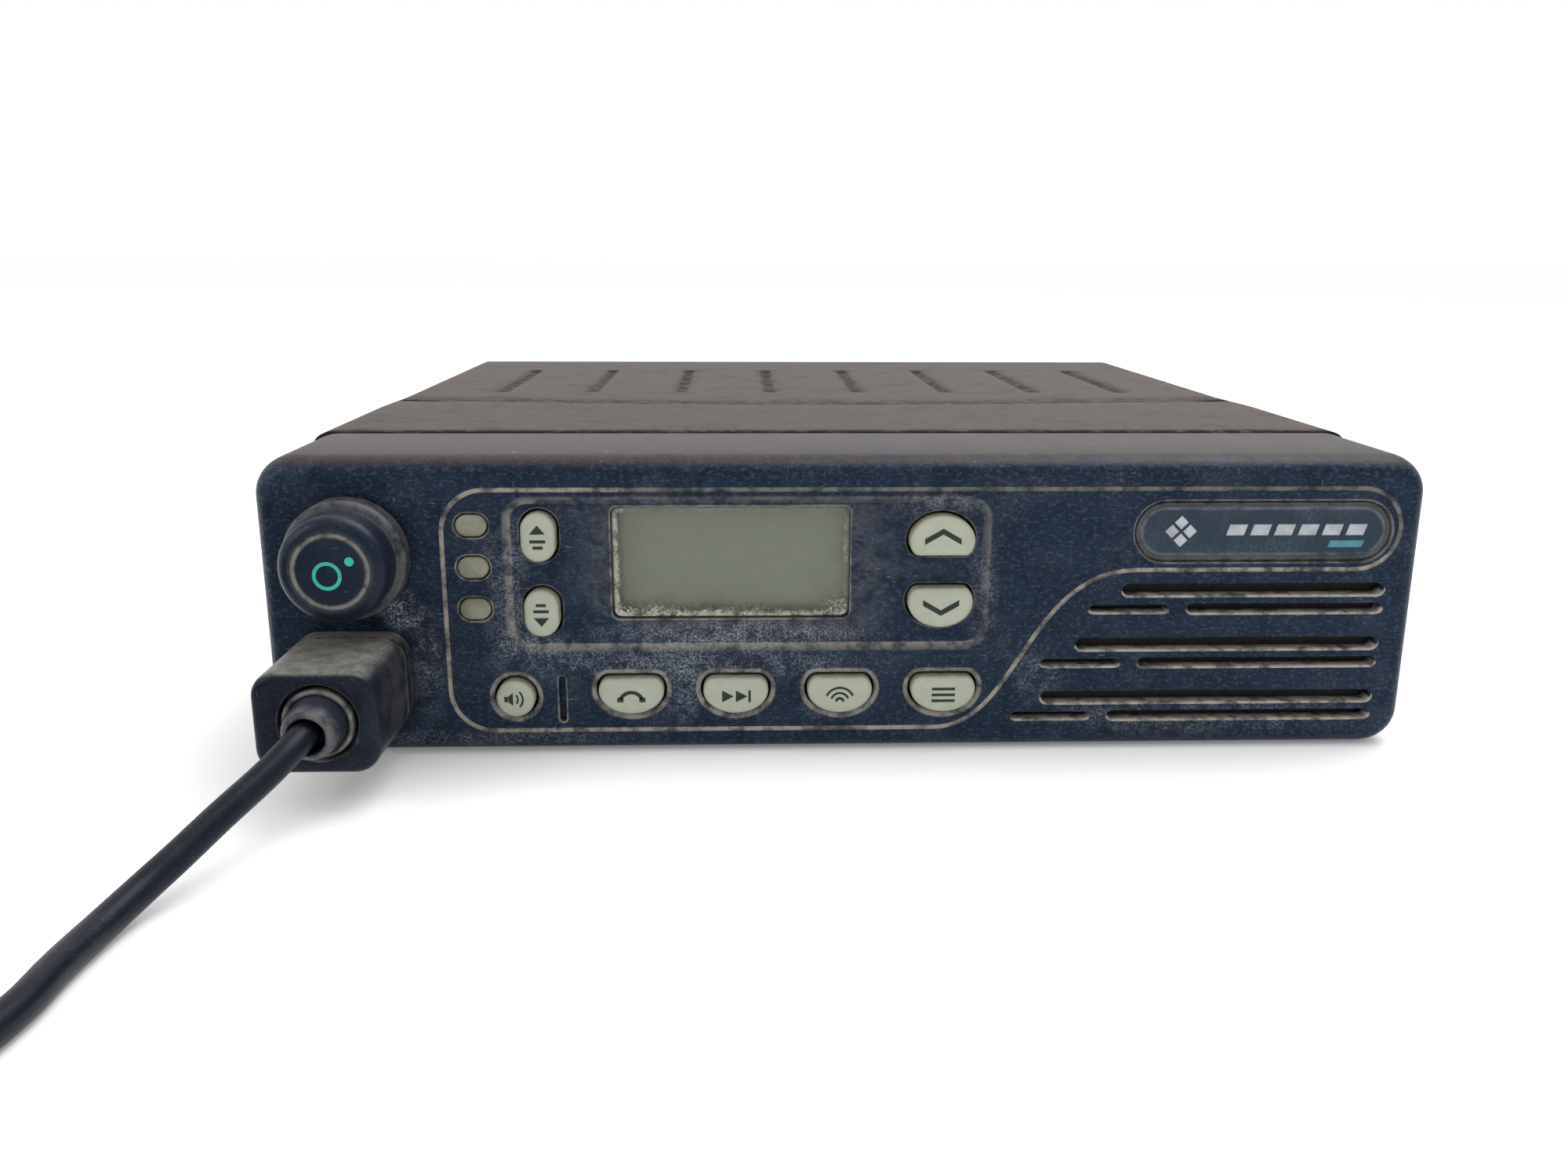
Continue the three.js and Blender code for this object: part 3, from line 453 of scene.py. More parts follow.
def rounded_rectangle(width, height, corner, x, z, step=0.5):
    w, h = width / 2, height / 2
    r = min(corner, w, h)
    points = []
    for sx, sz, start in ((1, -1, -90), (1, 1, 0), (-1, 1, 90), (-1, -1, 180)):
        points += arc(x + sx * (w - r), z + sz * (h - r), r, start, start + 90)
    return evenly(points, step)


def outline_of(feature, less=0.0):
    """The outline of a feature of the front panel, or of a piece that is smaller than it by less."""
    width, height = feature["width"] - less, feature["height"] - less
    return rounded_rectangle(width, height, feature["corner"], feature["x"], feature["z"])


def crescent(x, z, width, height, lift):
    """Half an ellipse on one long side, and a flatter line with rounded ends on the other. That one is above
    where lift is 1 and below where it is -1."""
    w, flat, dome = width / 2, 0.36 * height, 0.64 * height
    half = [radians(a) for a in range(0, 181, 6)]
    points = [(x - w * cos(a), z - lift * dome * sin(a)) for a in half]
    corner = [radians(a) for a in range(0, 91, 6)]
    for side, angles in ((1, corner), (-1, reversed(corner))):
        for a in angles:
            reach = w * (1 - 0.3 * (1 - cos(a)))
            points.append((x + side * reach, z + lift * flat * sin(a)))
    return evenly(points if lift > 0 else points[::-1], 0.3)


def groove_loop():
    left, bottom, top, corner = LOOP["left"], LOOP["bottom"], LOOP["top"], LOOP["corner"]
    under = TONGUE["z"] - TONGUE["radius"]
    bend = [(13, bottom), (26, bottom), (26, under), (42, under)]
    slope = []
    for t in np.linspace(0, 1, 40):
        share = ((1 - t) ** 3, 3 * t * (1 - t) ** 2, 3 * t * t * (1 - t), t**3)
        slope.append(tuple(sum(k * p[axis] for k, p in zip(share, bend)) for axis in (0, 1)))
    points = [(left + corner, bottom)] + slope + arc(TONGUE["x"], TONGUE["z"], TONGUE["radius"], -90, 90)
    points += arc(left + corner, top - corner, corner, 90, 180)
    points += arc(left + corner, bottom + corner, corner, 180, 270)
    return evenly(points, 0.6)


def speaker_slots():
    """Each row has one long slot, and under it a short one and a long one in line."""
    slots = []
    for row, (start, split) in enumerate(SLOT_STARTS):
        z = SLOT_TOP - SLOT_PITCH * row
        low = z - SLOT_DROP
        parts = (
            (start, SLOT_RIGHT, z, 1.7), (split, split + SHORT_SLOT, low, 1.0),
            (split + SLOT_BREAK, SLOT_RIGHT, low, 1.3),
        )
        for left, right, middle, high in parts:
            slots.append(rounded_rectangle(right - left, high, high / 2, (left + right) / 2, middle, 0.4))
    return slots


def grown(outline, by):
    """The outline moved outwards by a distance along its normals."""
    if not by:
        return outline
    along = unit(np.roll(outline, -1, axis=0) - np.roll(outline, 1, axis=0))
    return outline + by * np.stack([along[:, 1], -along[:, 0]], axis=1)


def shrunk(outline, share):
    middle = (outline.min(0) + outline.max(0)) / 2
    return middle + (outline - middle) * share


KEYS = {
    "select_key": rounded_rectangle(4.9, 7.1, 2.45, -44.0, 32.8, 0.3),
    "home_key": rounded_rectangle(5.0, 6.9, 2.5, -43.9, 21.7, 0.3),
    "up_key": crescent(13.4, 32.1, 9.4, 5.9, -1),
    "down_key": crescent(13.4, 23.1, 9.4, 5.9, 1),
    "monitor_key": rounded_rectangle(5.6, 5.6, 2.8, -48.2, 8.9, 0.3),
    "phone_key": crescent(-31.4, 9.9, 9.5, 5.5, 1),
    "scan_key": crescent(-16.2, 9.9, 9.5, 5.5, 1),
    "call_key": crescent(-1.0, 9.9, 9.5, 5.5, 1),
    "menu_key": crescent(14.2, 9.9, 9.5, 5.5, 1),
}
RINGED = ("monitor_key", "phone_key", "scan_key", "call_key", "menu_key")


# ---- Meshes ----

def add_object(name, data):
    made = bpy.data.objects.new(name, data)
    bpy.context.scene.collection.objects.link(made)
    return made


def facing(x, z, depth):
    """A point of the front panel, a depth behind its face."""
    return x, FRONT + depth, z


def beside(x, z):
    """Gives the function that places a point across, up and along, from a line through x and z."""
    return lambda across, up, along: (x + across, along, z + up)


class Skin:
    """Gathers rings of points in millimetres and the faces between them, and makes one object of them."""

    def __init__(self):
        self.points, self.faces, self.slots, self.dust = [], [], [], []
        self.slot = 0

    def ring(self, points, dust=0.0):
        start = len(self.points)
        for p in points:
            self.points.append(tuple(float(c) for c in p))
            self.dust.append(dust(*p) if callable(dust) else dust)
        return list(range(start, len(self.points)))

    def face(self, *corners):
        self.faces.append(corners)
        self.slots.append(self.slot)

    def bridge(self, a, b, closed=True):
        count = len(a)
        for i in range(count if closed else count - 1):
            j = (i + 1) % count
            self.face(a[i], a[j], b[j], b[i])

    def fill(self, outer, *holes):
        """Closes a flat ring, round any holes in it."""
        flat, loops = [], []
        for ring in (outer, *holes):
            loops.append(list(range(len(flat), len(flat) + len(ring))))
            flat += ring
        points = np.array([self.points[i] for i in flat])
        across, up = np.sort(np.argsort(np.ptp(points, axis=0))[1:])
        plane = [Vector((p[across], p[up])) for p in points]
        made = delaunay_2d_cdt(plane, [], loops, INSIDE_ROUND_HOLES, 1e-5)
        for corners in made[2]:
            self.face(*(flat[made[3][k][0]] for k in corners))

    def join(self, rings):
        for a, b in zip(rings, rings[1:]):
            self.bridge(a, b)
        return rings[0], rings[-1]

    def tunnel(self, rings):
        """Joins rings without dust in turn and gives the first and the last."""
        return self.join([self.ring(points) for points in rings])

    def walls(self, outline, profile, place=facing):
        """Rings round an outline, joined in turn. A step of the profile is (outset, depth), and then the
        amount of dust, which on some pieces is painted shade, where there is any."""
        rings = []
        for out, deep, *dust in profile:
            rings.append(self.ring([place(x, z, deep) for x, z in grown(outline, out)], *dust))
        return self.join(rings)

    def solid(self, outline, profile, place=facing):
        """Walls with a flat face at each end."""
        for end in self.walls(outline, profile, place):
            self.fill(end)

    def turned(self, profile, place, sides):
        """A surface of revolution through steps of (radius, along), again with dust where there is any. Place
        turns (across, up, along) into a point, and a radius of 0 closes an end."""
        rings = []
        angles = [2 * pi * i / sides for i in range(sides)]
        for radius, along, *dust in profile:
            circle = angles if radius else [0.0]
            points = [place(radius * cos(a), radius * sin(a), along) for a in circle]
            rings.append(self.ring(points, *dust))
        for a, b in zip(rings, rings[1:]):
            if len(a) == len(b):
                self.bridge(a, b)
                continue
            tip, rim = (a[0], b) if len(a) == 1 else (b[0], a)
            for i in range(len(rim)):
                self.face(tip, rim[i], rim[(i + 1) % len(rim)])

    def tile(self, outline, low, high, place=facing):
        """A thin solid mark between two depths."""
        self.solid(np.array(outline, float), [(0, low), (0, high)], place)

    def done(self, name, materials, body="radio", replaces=(), matrix=None, angle=38):
        mesh = bpy.data.meshes.new(name)
        mesh.from_pydata([tuple(c * MM for c in p) for p in self.points], [], self.faces)
        mesh.polygons.foreach_set("material_index", self.slots)
        mark = mesh.attributes.new("dust", "FLOAT", "POINT")
        mark.data.foreach_set("value", self.dust)
        work = bmesh.new()
        work.from_mesh(mesh)
        bmesh.ops.remove_doubles(work, verts=work.verts, dist=1e-7)
        bmesh.ops.recalc_face_normals(work, faces=work.faces)
        work.to_mesh(mesh)
        work.free()
        if matrix is not None:
            mesh.transform(matrix)
        mesh.shade_smooth()
        mesh.set_sharp_from_angle(angle=radians(angle))
        for material in materials:
            mesh.materials.append(LOOK[material])
        piece = add_object(name, mesh)
        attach(piece, body)
        if replaces:
            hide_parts(*replaces)
        return piece


def quarter(steps):
    """Angles from 0 to 90 degrees."""
    return [pi / 2 * k / steps for k in range(steps + 1)]


def rounded_edge(radius, deep=0.0, dust=0.0, steps=4):
    """Profile steps from a flat face, over a rounded edge, into a wall."""
    return [(radius * (1 - sin(a)), deep + radius * (1 - cos(a)), dust) for a in quarter(steps)]


def rounded_foot(radius, deep, dust, steps=3):
    """Profile steps from a wall, round its foot, to a floor."""
    return [(-radius * (1 - cos(a)), deep - radius * (1 - sin(a)), dust) for a in quarter(steps)]


def rounded_base(inward, deep, base, steps):
    """Profile steps from a flat base, round an edge that lies inward and goes deep, into the wall."""
    return [(-inward * (1 - sin(a)), base + deep * (1 - cos(a))) for a in quarter(steps)]


# ---- Front bezel ----

def groove_dust(x, y, z):
    """The groove is packed with dust on the left and below, and less so along the top right."""
    return 0.95 if x < -32 or z < 30 else 0.45


def bezel_edge(skin):
    """The rolled rim, the sides and the inside walls, from the flat of the front to the back of the panel."""
    outer = rounded_rectangle(WIDTH, HEIGHT, BEZEL_CORNER, 0, HEIGHT / 2, 0.9)
    depth = BEZEL_REAR - FRONT
    profile = [(-ROLL_IN - 0.05, 0)] + rounded_base(ROLL_IN, ROLL_BACK, 0, 9)
    profile += [(0, depth - 0.6), (-0.1, depth - 0.25, 0.2), (-0.35, depth - 0.03, 0.3)]
    profile += [(-0.6, depth, 0.1), (-BEZEL_WALL + 0.1, depth), (-BEZEL_WALL, depth - 0.1)]
    profile += [(-BEZEL_WALL, FACE_WALL)]
    return skin.walls(outer, profile)


def groove_profile():
    lip = rounded_edge(0.08, steps=2)
    profile = [(0.14, 0)] + lip
    profile += [(-0.04, 0.2, groove_dust), (-0.12, GROOVE_DEEP, groove_dust)]
    profile += [(-GROOVE_WIDTH + 0.12, GROOVE_DEEP, groove_dust), (-GROOVE_WIDTH + 0.04, 0.2, groove_dust)]
    profile += [(-GROOVE_WIDTH - out, deep, dust) for out, deep, dust in reversed(lip)]
    return profile + [(-GROOVE_WIDTH - 0.14, 0)]


def make_bezel():
    skin = Skin()
    deep = PANEL["deep"]
    front_rim, inside_rim = bezel_edge(skin)
    groove_out, groove_in = skin.walls(groove_loop(), groove_profile())
    behind = []

    def opening(outline, profile):
        rim, back = skin.walls(outline, profile + [(0, FACE_WALL)])
        behind.append(back)
        return rim

    def key_hole(name):
        hole = grown(KEYS[name], KEY_CLEARANCE)
        if name in RINGED:
            slope = [(0.9, 0), (0.72, 0, 0.2), (0.62, 0.03, 0.75), (0.1, 0.3, 0.85)]
            return opening(hole, slope + [(0.03, 0.36, 0.5), (0, 0.5)])
        return opening(hole, [(0.26, deep)] + rounded_edge(0.18, deep=deep, dust=0.35))

    def plain_hole(outline, radius=0.22, dust=0.4):
        return opening(outline, [(radius + 0.1, 0)] + rounded_edge(radius, dust=dust))

    def rim_dust(x, y, z):
        return 0.5 if x < PANEL["x"] - 30 or z < PANEL["z"] - 10 else 0.12

    def slot_hole(slot):
        """Dust lies on the lower lip and on the bottom of each slot."""
        middle = slot[:, 1].mean()

        def lip_dust(x, y, z):
            return 1.0 if z < middle - 0.15 else 0.0

        edge = [(0.36, 0)] + rounded_edge(0.3, dust=lip_dust) + [(0, 2.0, lip_dust)]
        return opening(slot, edge)

    slots = [slot_hole(slot) for slot in speaker_slots()]
    jack = plain_hole(outline_of(JACK))
    shaft = plain_hole(rounded_rectangle(KNOB_HOLE, KNOB_HOLE, KNOB_HOLE / 2, KNOB["x"], KNOB["z"]))
    skin.fill(front_rim, groove_out, jack, shaft, *slots)

    lamps = [
        plain_hole(rounded_rectangle(LAMP_WIDTH + 0.4, LAMP_HEIGHT + 0.4, 2, LAMP_X, z, 0.3), 0.2, 0.6)
        for z in LAMPS.values()
    ]
    middle = (DIVIDER["low"] + DIVIDER["high"]) / 2
    divider, sunk = skin.walls(
        rounded_rectangle(1, DIVIDER["high"] - DIVIDER["low"], 0.5, DIVIDER["x"], middle, 0.25),
        [(0.28, 0)] + rounded_edge(0.18, dust=0.5) + [(0, 1.2)], facing,
    )
    skin.fill(sunk)
    badge_edge = [(0.28, 0)] + rounded_edge(0.2, dust=0.35) + rounded_foot(0.1, BADGE["deep"], 0.4)
    badge, badge_floor = skin.walls(outline_of(BADGE), badge_edge)
    skin.fill(badge_floor)
    slope = [(0.25, 0), (0.1, 0.01, 0.1), (-0.1, 0.07, 0.25), (-0.7, deep - 0.08, rim_dust)]
    slope += [(-0.9, deep - 0.01, rim_dust), (-1.1, deep)]
    recess, floor = skin.walls(outline_of(PANEL), slope)
    window = opening(
        outline_of(WINDOW),
        [(0.2, deep, 0.1), (0.12, deep + 0.02, 0.5), (0, deep + 0.15, 0.7), (0, deep + 0.4, 0.3)],
    )
    keys = {name: key_hole(name) for name in KEYS}
    in_recess = [keys.pop(name) for name in ("select_key", "home_key", "up_key", "down_key")]
    skin.fill(floor, window, *in_recess)
    skin.fill(groove_in, recess, divider, badge, *lamps, *keys.values())
    skin.fill(inside_rim, *behind)
    skin.done("bezel_moulding", ["bezel"], replaces=["front_bezel"])


# ---- Keys, with pictograms in place of words ----

def bar(u, v, wide, high):
    return [(u + x * wide / 2, v + z * high / 2) for x, z in ((-1, -1), (1, -1), (1, 1), (-1, 1))]


def triangle(u, v, wide, high):
    """Points up, or down with a negative height."""
    return [(u - wide / 2, v - high / 2), (u + wide / 2, v - high / 2), (u, v + high / 2)]


def band(u, v, radius, wide, start, stop):
    outer = arc(u, v, radius + wide / 2, start, stop)
    return outer + arc(u, v, radius - wide / 2, start, stop)[::-1]


def chevron(u, v, wide, high, thick):
    return [
        (u - wide / 2, v - high / 2), (u - wide / 2, v - high / 2 - thick), (u, v + high / 2 - thick),
        (u + wide / 2, v - high / 2 - thick), (u + wide / 2, v - high / 2), (u, v + high / 2),
    ]


PICTOGRAMS = {
    "select_key": [triangle(0, 1.2, 2.2, 1.3), bar(0, -0.5, 2.2, 0.45), bar(0, -1.4, 1.4, 0.45)],
    "home_key": [bar(0, 1.3, 1.4, 0.45), bar(0, 0.4, 2.2, 0.45), triangle(0, -1.2, 2.2, -1.3)],
    "up_key": [chevron(0, 0.35, 5.2, 1.5, 0.85)],
    "down_key": [[(u, -v) for u, v in chevron(0, 0.35, 5.2, 1.5, 0.85)]],
    "monitor_key": [
        bar(-1.3, 0, 0.5, 0.8), [(-1.0, -0.4), (-0.3, -1.0), (-0.3, 1.0), (-1.0, 0.4)],
        band(-0.5, 0, 0.9, 0.28, -45, 45), band(-0.5, 0, 1.6, 0.28, -45, 45),
    ],
    "phone_key": [band(0, -1.0, 1.7, 0.55, 25, 155), bar(-1.6, -0.45, 0.9, 0.7), bar(1.6, -0.45, 0.9, 0.7)],
    "scan_key": [
        [(-2.0, -0.9), (-0.3, 0), (-2.0, 0.9)], [(0.0, -0.9), (1.7, 0), (0.0, 0.9)], bar(2.0, 0, 0.35, 1.8),
    ],
    "call_key": [
        band(0, -0.9, 0.5, 0.4, 0, 180), band(0, -0.9, 1.3, 0.34, 20, 160), band(0, -0.9, 2.1, 0.34, 25, 155),
    ],
    "menu_key": [bar(0, v, 3.4, 0.42) for v in (0.9, 0, -0.9)],
}


def crowned(outline, steps):
    """Rings that shrink towards the outline's middle, one for each (share, depth)."""
    return [[facing(x, z, deep) for x, z in shrunk(outline, share)] for share, deep in steps]


def make_key(name, outline):
    skin = Skin()
    centre = (outline.min(0) + outline.max(0)) / 2
    # The side walls take the keys' darker attribute colour, dirt and painted shade, fading out towards the
    # top
    rim = [(0, 2.2, 0.8), (0, 0, 0.8), (0, -0.62, 0.6)]
    rim += [(-0.05, -0.78, 0.5), (-0.16, -0.9, 0.3), (-0.3, -0.97, 0.1)]
    back, edge = skin.walls(outline, rim)
    crown = [(0.84, -1.04), (0.74, -1.10), (0.62, -1.15), (0.48, -1.18), (0.34, -1.195), (0.2, -KEY_REACH)]
    first, top = skin.tunnel(crowned(outline, crown))
    skin.bridge(edge, first)
    skin.fill(back)
    skin.fill(top)
    skin.slot = 1
    for shape in PICTOGRAMS[name]:
        skin.tile(centre + shape, -KEY_REACH + 0.05, -KEY_REACH - 0.012)
    skin.done(name + "_cap", ["key", "print"], name, [name])


# ---- Lamps, display and badge ----

def make_lamp(name, z):
    skin = Skin()
    outline = rounded_rectangle(LAMP_WIDTH, LAMP_HEIGHT, LAMP_HEIGHT / 2, LAMP_X, z, 0.25)
    sides = ((0, 2.4), (0, 0.1), (-0.06, -0.1), (-0.2, -0.25))
    rings = [[facing(x, z, deep) for x, z in grown(outline, out)] for out, deep in sides]
    back, top = skin.tunnel(rings + crowned(outline, ((0.72, -0.36), (0.5, -0.43), (0.25, -0.46))))
    skin.fill(back)
    skin.fill(top)
    skin.done(name + "_lens", ["lamp"], replaces=[name])


def make_display():
    def edge_dust(x, y, z):
        left = x < WINDOW["x"] - WINDOW["width"] / 2 + 1.6
        low = z < WINDOW["z"] - WINDOW["height"] / 2 + 1.2
        return 0.75 if left or low else 0.25

    skin = Skin()
    profile = [(0, 2.0), (0, 1.12, edge_dust), (-0.12, 1.0, edge_dust), (-0.45, 1.0, edge_dust)]
    skin.solid(outline_of(WINDOW, INLAY_GAP), profile + [(-0.95, 1.0)])
    skin.done("display_lens", ["lens"], replaces=["display_window"])


def make_badge():
    """A plate with a thin rim, and marks on it that spell nothing."""
    skin = Skin()
    outline = outline_of(BADGE, INLAY_GAP)
    low, high = BADGE["deep"] - 0.1, 0.2
    edge = [(0, low), (0, high + 0.15, 0.3), (-0.15, high, 0.2), (-0.3, high)]
    back, _ = skin.walls(outline, edge)
    skin.fill(back)
    skin.slot = 1
    rim = [(-0.3, high), (-0.36, high - 0.06), (-0.54, high - 0.06), (-0.6, high)]
    skin.walls(outline, rim)
    skin.slot = 0
    inside = [(-0.6, high), (-0.75, high + 0.12, 0.3), (-1.2, high + 0.14)]
    _, field = skin.walls(outline, inside)
    skin.fill(field)
    mark = (high + 0.2, high + 0.12)
    across, up = BADGE["x"], BADGE["z"]
    skin.slot = 3
    for k in range(6):
        left = across - 5.4 + 3.5 * k
        slant = [(left, -0.6), (left + 2.6, -0.6), (left + 3.1, 1.0), (left + 0.5, 1.0)]
        skin.tile([(x, up + z) for x, z in slant], *mark)
    middle = across - 12.0
    for u, v in ((0, 1.3), (1.3, 0), (0, -1.3), (-1.3, 0)):
        corners = [(middle + u + x, up + v + z) for x, z in ((-1, 0), (0, -1), (1, 0), (0, 1))]
        skin.tile(corners, *mark)
    skin.slot = 2
    under = [(9.6, -2.4), (14.6, -2.4), (15, -1.4), (10, -1.4)]
    skin.tile([(across + x, up + z) for x, z in under], *mark)
    skin.done("badge_plate", ["badge", "rim", "blue", "silver"], replaces=["nameplate"])


# ---- Volume knob ----

def make_knob():
    place = beside(KNOB["x"], KNOB["z"])
    face = FRONT - KNOB["reach"]
    top = KNOB["top"]
    skin = Skin()
    flange, waist = KNOB["radius"], FRONT - 4.1
    profile = [
        (0, face + 2.5), (3.1, face + 2.5), (3.1, FRONT - 0.5), (flange - 0.4, FRONT - 0.5, 0.2),
        (flange - 0.1, FRONT - 0.6, 0.3), (flange, FRONT - 0.9, 0.2), (flange - 0.02, waist + 0.7, 0.1),
        (flange - 0.12, waist + 0.4, 0.25), (flange - 0.85, waist - 0.35, 0.12),
        (top + 0.08, waist - 0.4, 0.2), (top + 0.02, waist - 0.52, 0.1), (top, waist - 0.8),
    ]
    roll = 1.9
    for a in np.radians(range(0, 91, 13)):
        profile.append((top - roll * (1 - cos(a)), face + roll * (1 - sin(a))))
    profile += [
        (top - 2.1, face + 0.01, 0.1), (top - 2.22, face + 0.1, 0.45), (top - 2.4, face + 0.17, 0.6),
        (top - 2.6, face + 0.17, 0.5), (top - 2.72, face + 0.1, 0.3), (top - 2.84, face + 0.02, 0.05),
        (top - 3.0, face), (3.0, face), (0, face),
    ]
    skin.turned(profile, place, 96)
    skin.slot = 1
    skin.tile(band(-0.45, -0.6, 1.72, 0.5, 0, 359), face + 0.3, face - 0.012, place)
    skin.tile(arc(2.65, 1.4, 0.62, 0, 345), face + 0.3, face - 0.03, place)
    skin.done("knob_moulding", ["knob", "teal"], "volume_control", ["volume_knob"])


# ---- Plug, its strain relief and the cord ----

def make_plug():
    skin = Skin()
    width, height = PLUG["right"] - PLUG["left"], PLUG["top"] - PLUG["low"]
    x, z = (PLUG["left"] + PLUG["right"]) / 2, (PLUG["low"] + PLUG["top"]) / 2
    outline = rounded_rectangle(width, height, PLUG_CORNER, x, z, 0.4)
    roll = PLUG_ROLL
    place = beside(0, 0)
    back, tip = PLUG["back"], PLUG["front"]
    profile = [(-0.5, back, 0.2), (-0.1, back - 0.12, 0.3), (0, back - 0.5, 0.2), (0, back - 3.2)]
    profile += [(-0.25, back - 3.45, 0.3), (-0.25, back - 3.9, 0.3), (0, back - 4.15, 0.1)]
    profile += [(-roll * (1 - cos(a)), tip + roll * (1 - sin(a))) for a in quarter(7)]
    profile += [(-roll - 0.04, tip)]
    rear, front = skin.walls(outline, profile, place)
    skin.fill(rear)
    circle = evenly(arc(BOSS["x"], BOSS["z"], BOSS["radius"] + 0.55, 0, 357), 0.35)
    edge = [(0.2, tip), (0.12, tip + 0.03, 0.3), (0, tip + 0.2, 0.2), (0, tip + 2.2)]
    mouth, floor = skin.walls(circle, edge, place)
    skin.fill(front, mouth)
    skin.fill(floor)
    inside = FRONT + FACE_WALL
    skin.solid(outline_of(NOSE), [(0, back - 0.5), (0, inside + 5.6), (-0.4, inside + 6)], place)
    return skin.done("plug_moulding", ["black"], replaces=["mic_plug"])


def make_plug_relief():
    """The sleeve's throat is wider than the cord, and stands at the front of the plug."""
    skin = Skin()
    y, r = PLUG["front"], BOSS["radius"]
    profile = [
        (0, y + 2.1), (r, y + 2.1), (r, y + 0.1, 0.3), (r - 0.12, y - 0.15, 0.5),
        (r - 0.4, y - 0.25, 0.5), (r - 0.65, y - 0.15, 0.4), (r - 0.78, y + 0.2, 0.1),
        (r - 0.85, y - 0.4), (r - 0.87, y - 2.4), (r - 1.0, y - 3.2, 0.05),
        (r - 1.25, y - 4.0, 0.15), (r - 1.6, y - 4.6, 0.25), (r - 1.9, y - 4.9, 0.3),
        (r - 2.15, y - 4.97, 0.2), (2.42, y - 4.8, 0.1), (2.36, y - 4.3), (2.36, y - 1.2),
        (0, y - 1.2),
    ]
    skin.turned(profile, beside(BOSS["x"], BOSS["z"]), 72)
    return skin.done("plug_sleeve", ["knob"], replaces=["plug_strain_relief"])


def smooth_line(points, step):
    """Points a step apart along a Catmull-Rom curve through the given ones."""
    p = np.array(points, float)
    p = np.vstack([2 * p[0] - p[1], p, 2 * p[-1] - p[-2]])
    fine = []
    for a, b, c, d in zip(p, p[1:], p[2:], p[3:]):
        for t in np.arange(0, 1, 0.05):
            bend = (2 * a - 5 * b + 4 * c - d) * t**2 + (3 * b - a - 3 * c + d) * t**3
            fine.append(0.5 * (2 * b + (c - a) * t + bend))
    fine = np.array(fine + [p[-2]])
    long = distance_along(fine)[-1]
    return points_at(fine, np.linspace(0, long, max(2, round(long / step) + 1)))


def curl_line():
    """A helix round the curled part's axis. Its turns open out at both ends, where it starts and stops on the
    floor."""
    axis = smooth_line(CURL_ROUTE, 0.2)
    along = distance_along(axis)
    ramp = np.clip(np.minimum(along, along[-1] - along) / LEAD_IN, 0, 1)
    ramp = ramp * ramp * (3 - 2 * ramp)
    angle = np.concatenate([[0], np.cumsum((ramp[1:] + ramp[:-1]) / 2 * np.diff(along))])
    turns = round(angle[-1] / CURL_PITCH)
    angle *= 2 * pi * turns / angle[-1]
    forward = unit(np.gradient(axis, axis=0))
    side = np.stack([-forward[:, 1], forward[:, 0]], axis=1)
    radius = (CURL - CORD) / 2
    x, y = (axis + side * radius * np.sin(angle)[:, None]).T
    return np.stack([x, y, CURL_REST - radius * np.cos(angle)], axis=1)[::2]


def make_cord(fittings):
    line = smooth_line(np.vstack([TAIL_ROUTE, curl_line(), END_ROUTE]), 1.6) * MM
    curve = bpy.data.curves.new("mic_cord", "CURVE")
    curve.dimensions = "3D"
    curve.bevel_depth = CORD / 2 * MM
    curve.bevel_resolution = 4
    curve.use_fill_caps = True
    curve.materials.append(LOOK["rubber"])
    spline = curve.splines.new("POLY")
    spline.points.add(len(line) - 1)
    for point, place in zip(spline.points, line):
        point.co = (*place, 1)
    spline.use_smooth = True
    cord = add_object("mic_cord", curve)
    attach(cord, "radio")
    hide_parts("cord_tail", "cord_curl", "cord_end")
    float(distance_along(line)[-1])


# ---- Top cover ----

def cover_section():
    """Half of the cover's outline is a skirt, a rolled edge and the flat top; points as (across, up)."""
    half, top, roll = BODY_HALF, HEIGHT, COVER_ROLL
    rise = [(half, z) for z in np.arange(COVER_LOW, top - roll - 0.1, 2.6)]
    bend = arc(half - roll, top - roll, roll, 0, 90)
    flat = set(np.arange(-half + roll, half - roll + 0.1, 2.0).round(2))
    for x, _ in CHANNELS:
        flat |= {round(x + 1.5 * k / 6, 2) for k in range(-6, 7)}
    top_line = [(x, top) for x in sorted(flat, reverse=True)[1:-1]]
    mirror = [(-x, z) for x, z in reversed(rise + bend)]
    return np.array(rise + bend + top_line + mirror)


def ease(t):
    t = min(1.0, max(0.0, t))
    return t * t * (3 - 2 * t)


def in_channel(x, y):
    """1 on the floor of a channel, 0 outside them all, with soft sides."""
    for middle, centre in CHANNELS:
        if abs(x - middle) < 2:
            past = max(0.0, abs(y - centre) - CHANNEL_LONG / 2 + CHANNEL_HALF)
            return ease(1.25 - hypot(x - middle, past) / CHANNEL_HALF)
    return 0.0


def cover_sink(x, y):
    """How far the top lies below its highest level: a step and a groove along the line, and the channels."""
    behind = y - step_line(x)
    run = 0.7 + 25 * ease((abs(x) - 70) / 12)
    groove = ease(behind / 0.7 + 0.5) * ease((2.0 - behind) / 0.9) * ease((BODY_HALF - 2 - abs(x)) / 5)
    return STEP_DEEP * ease(behind / run + 0.5) + LINE_DEEP * groove + CHANNEL_DEEP * in_channel(x, y)


def step_line(x):
    return STEP_MIDDLE + STEP_BOW * (x / (BODY_HALF + 1)) ** 2


def cover_painted_shade(x, y):
    """Painted shade: darker behind the step, along the front seam and a little in the channels."""
    seam = ease((BODY_FRONT + 3.4 - y) / 1.5)
    behind = y - step_line(x)
    near, far = ease((4.0 - behind) / 2.5), ease((16.0 - behind) / 12)
    step = ease(behind / 0.5 + 0.5) * (0.35 + 0.65 * near) * far
    return max(seam, step, 0.45 * in_channel(x, y))


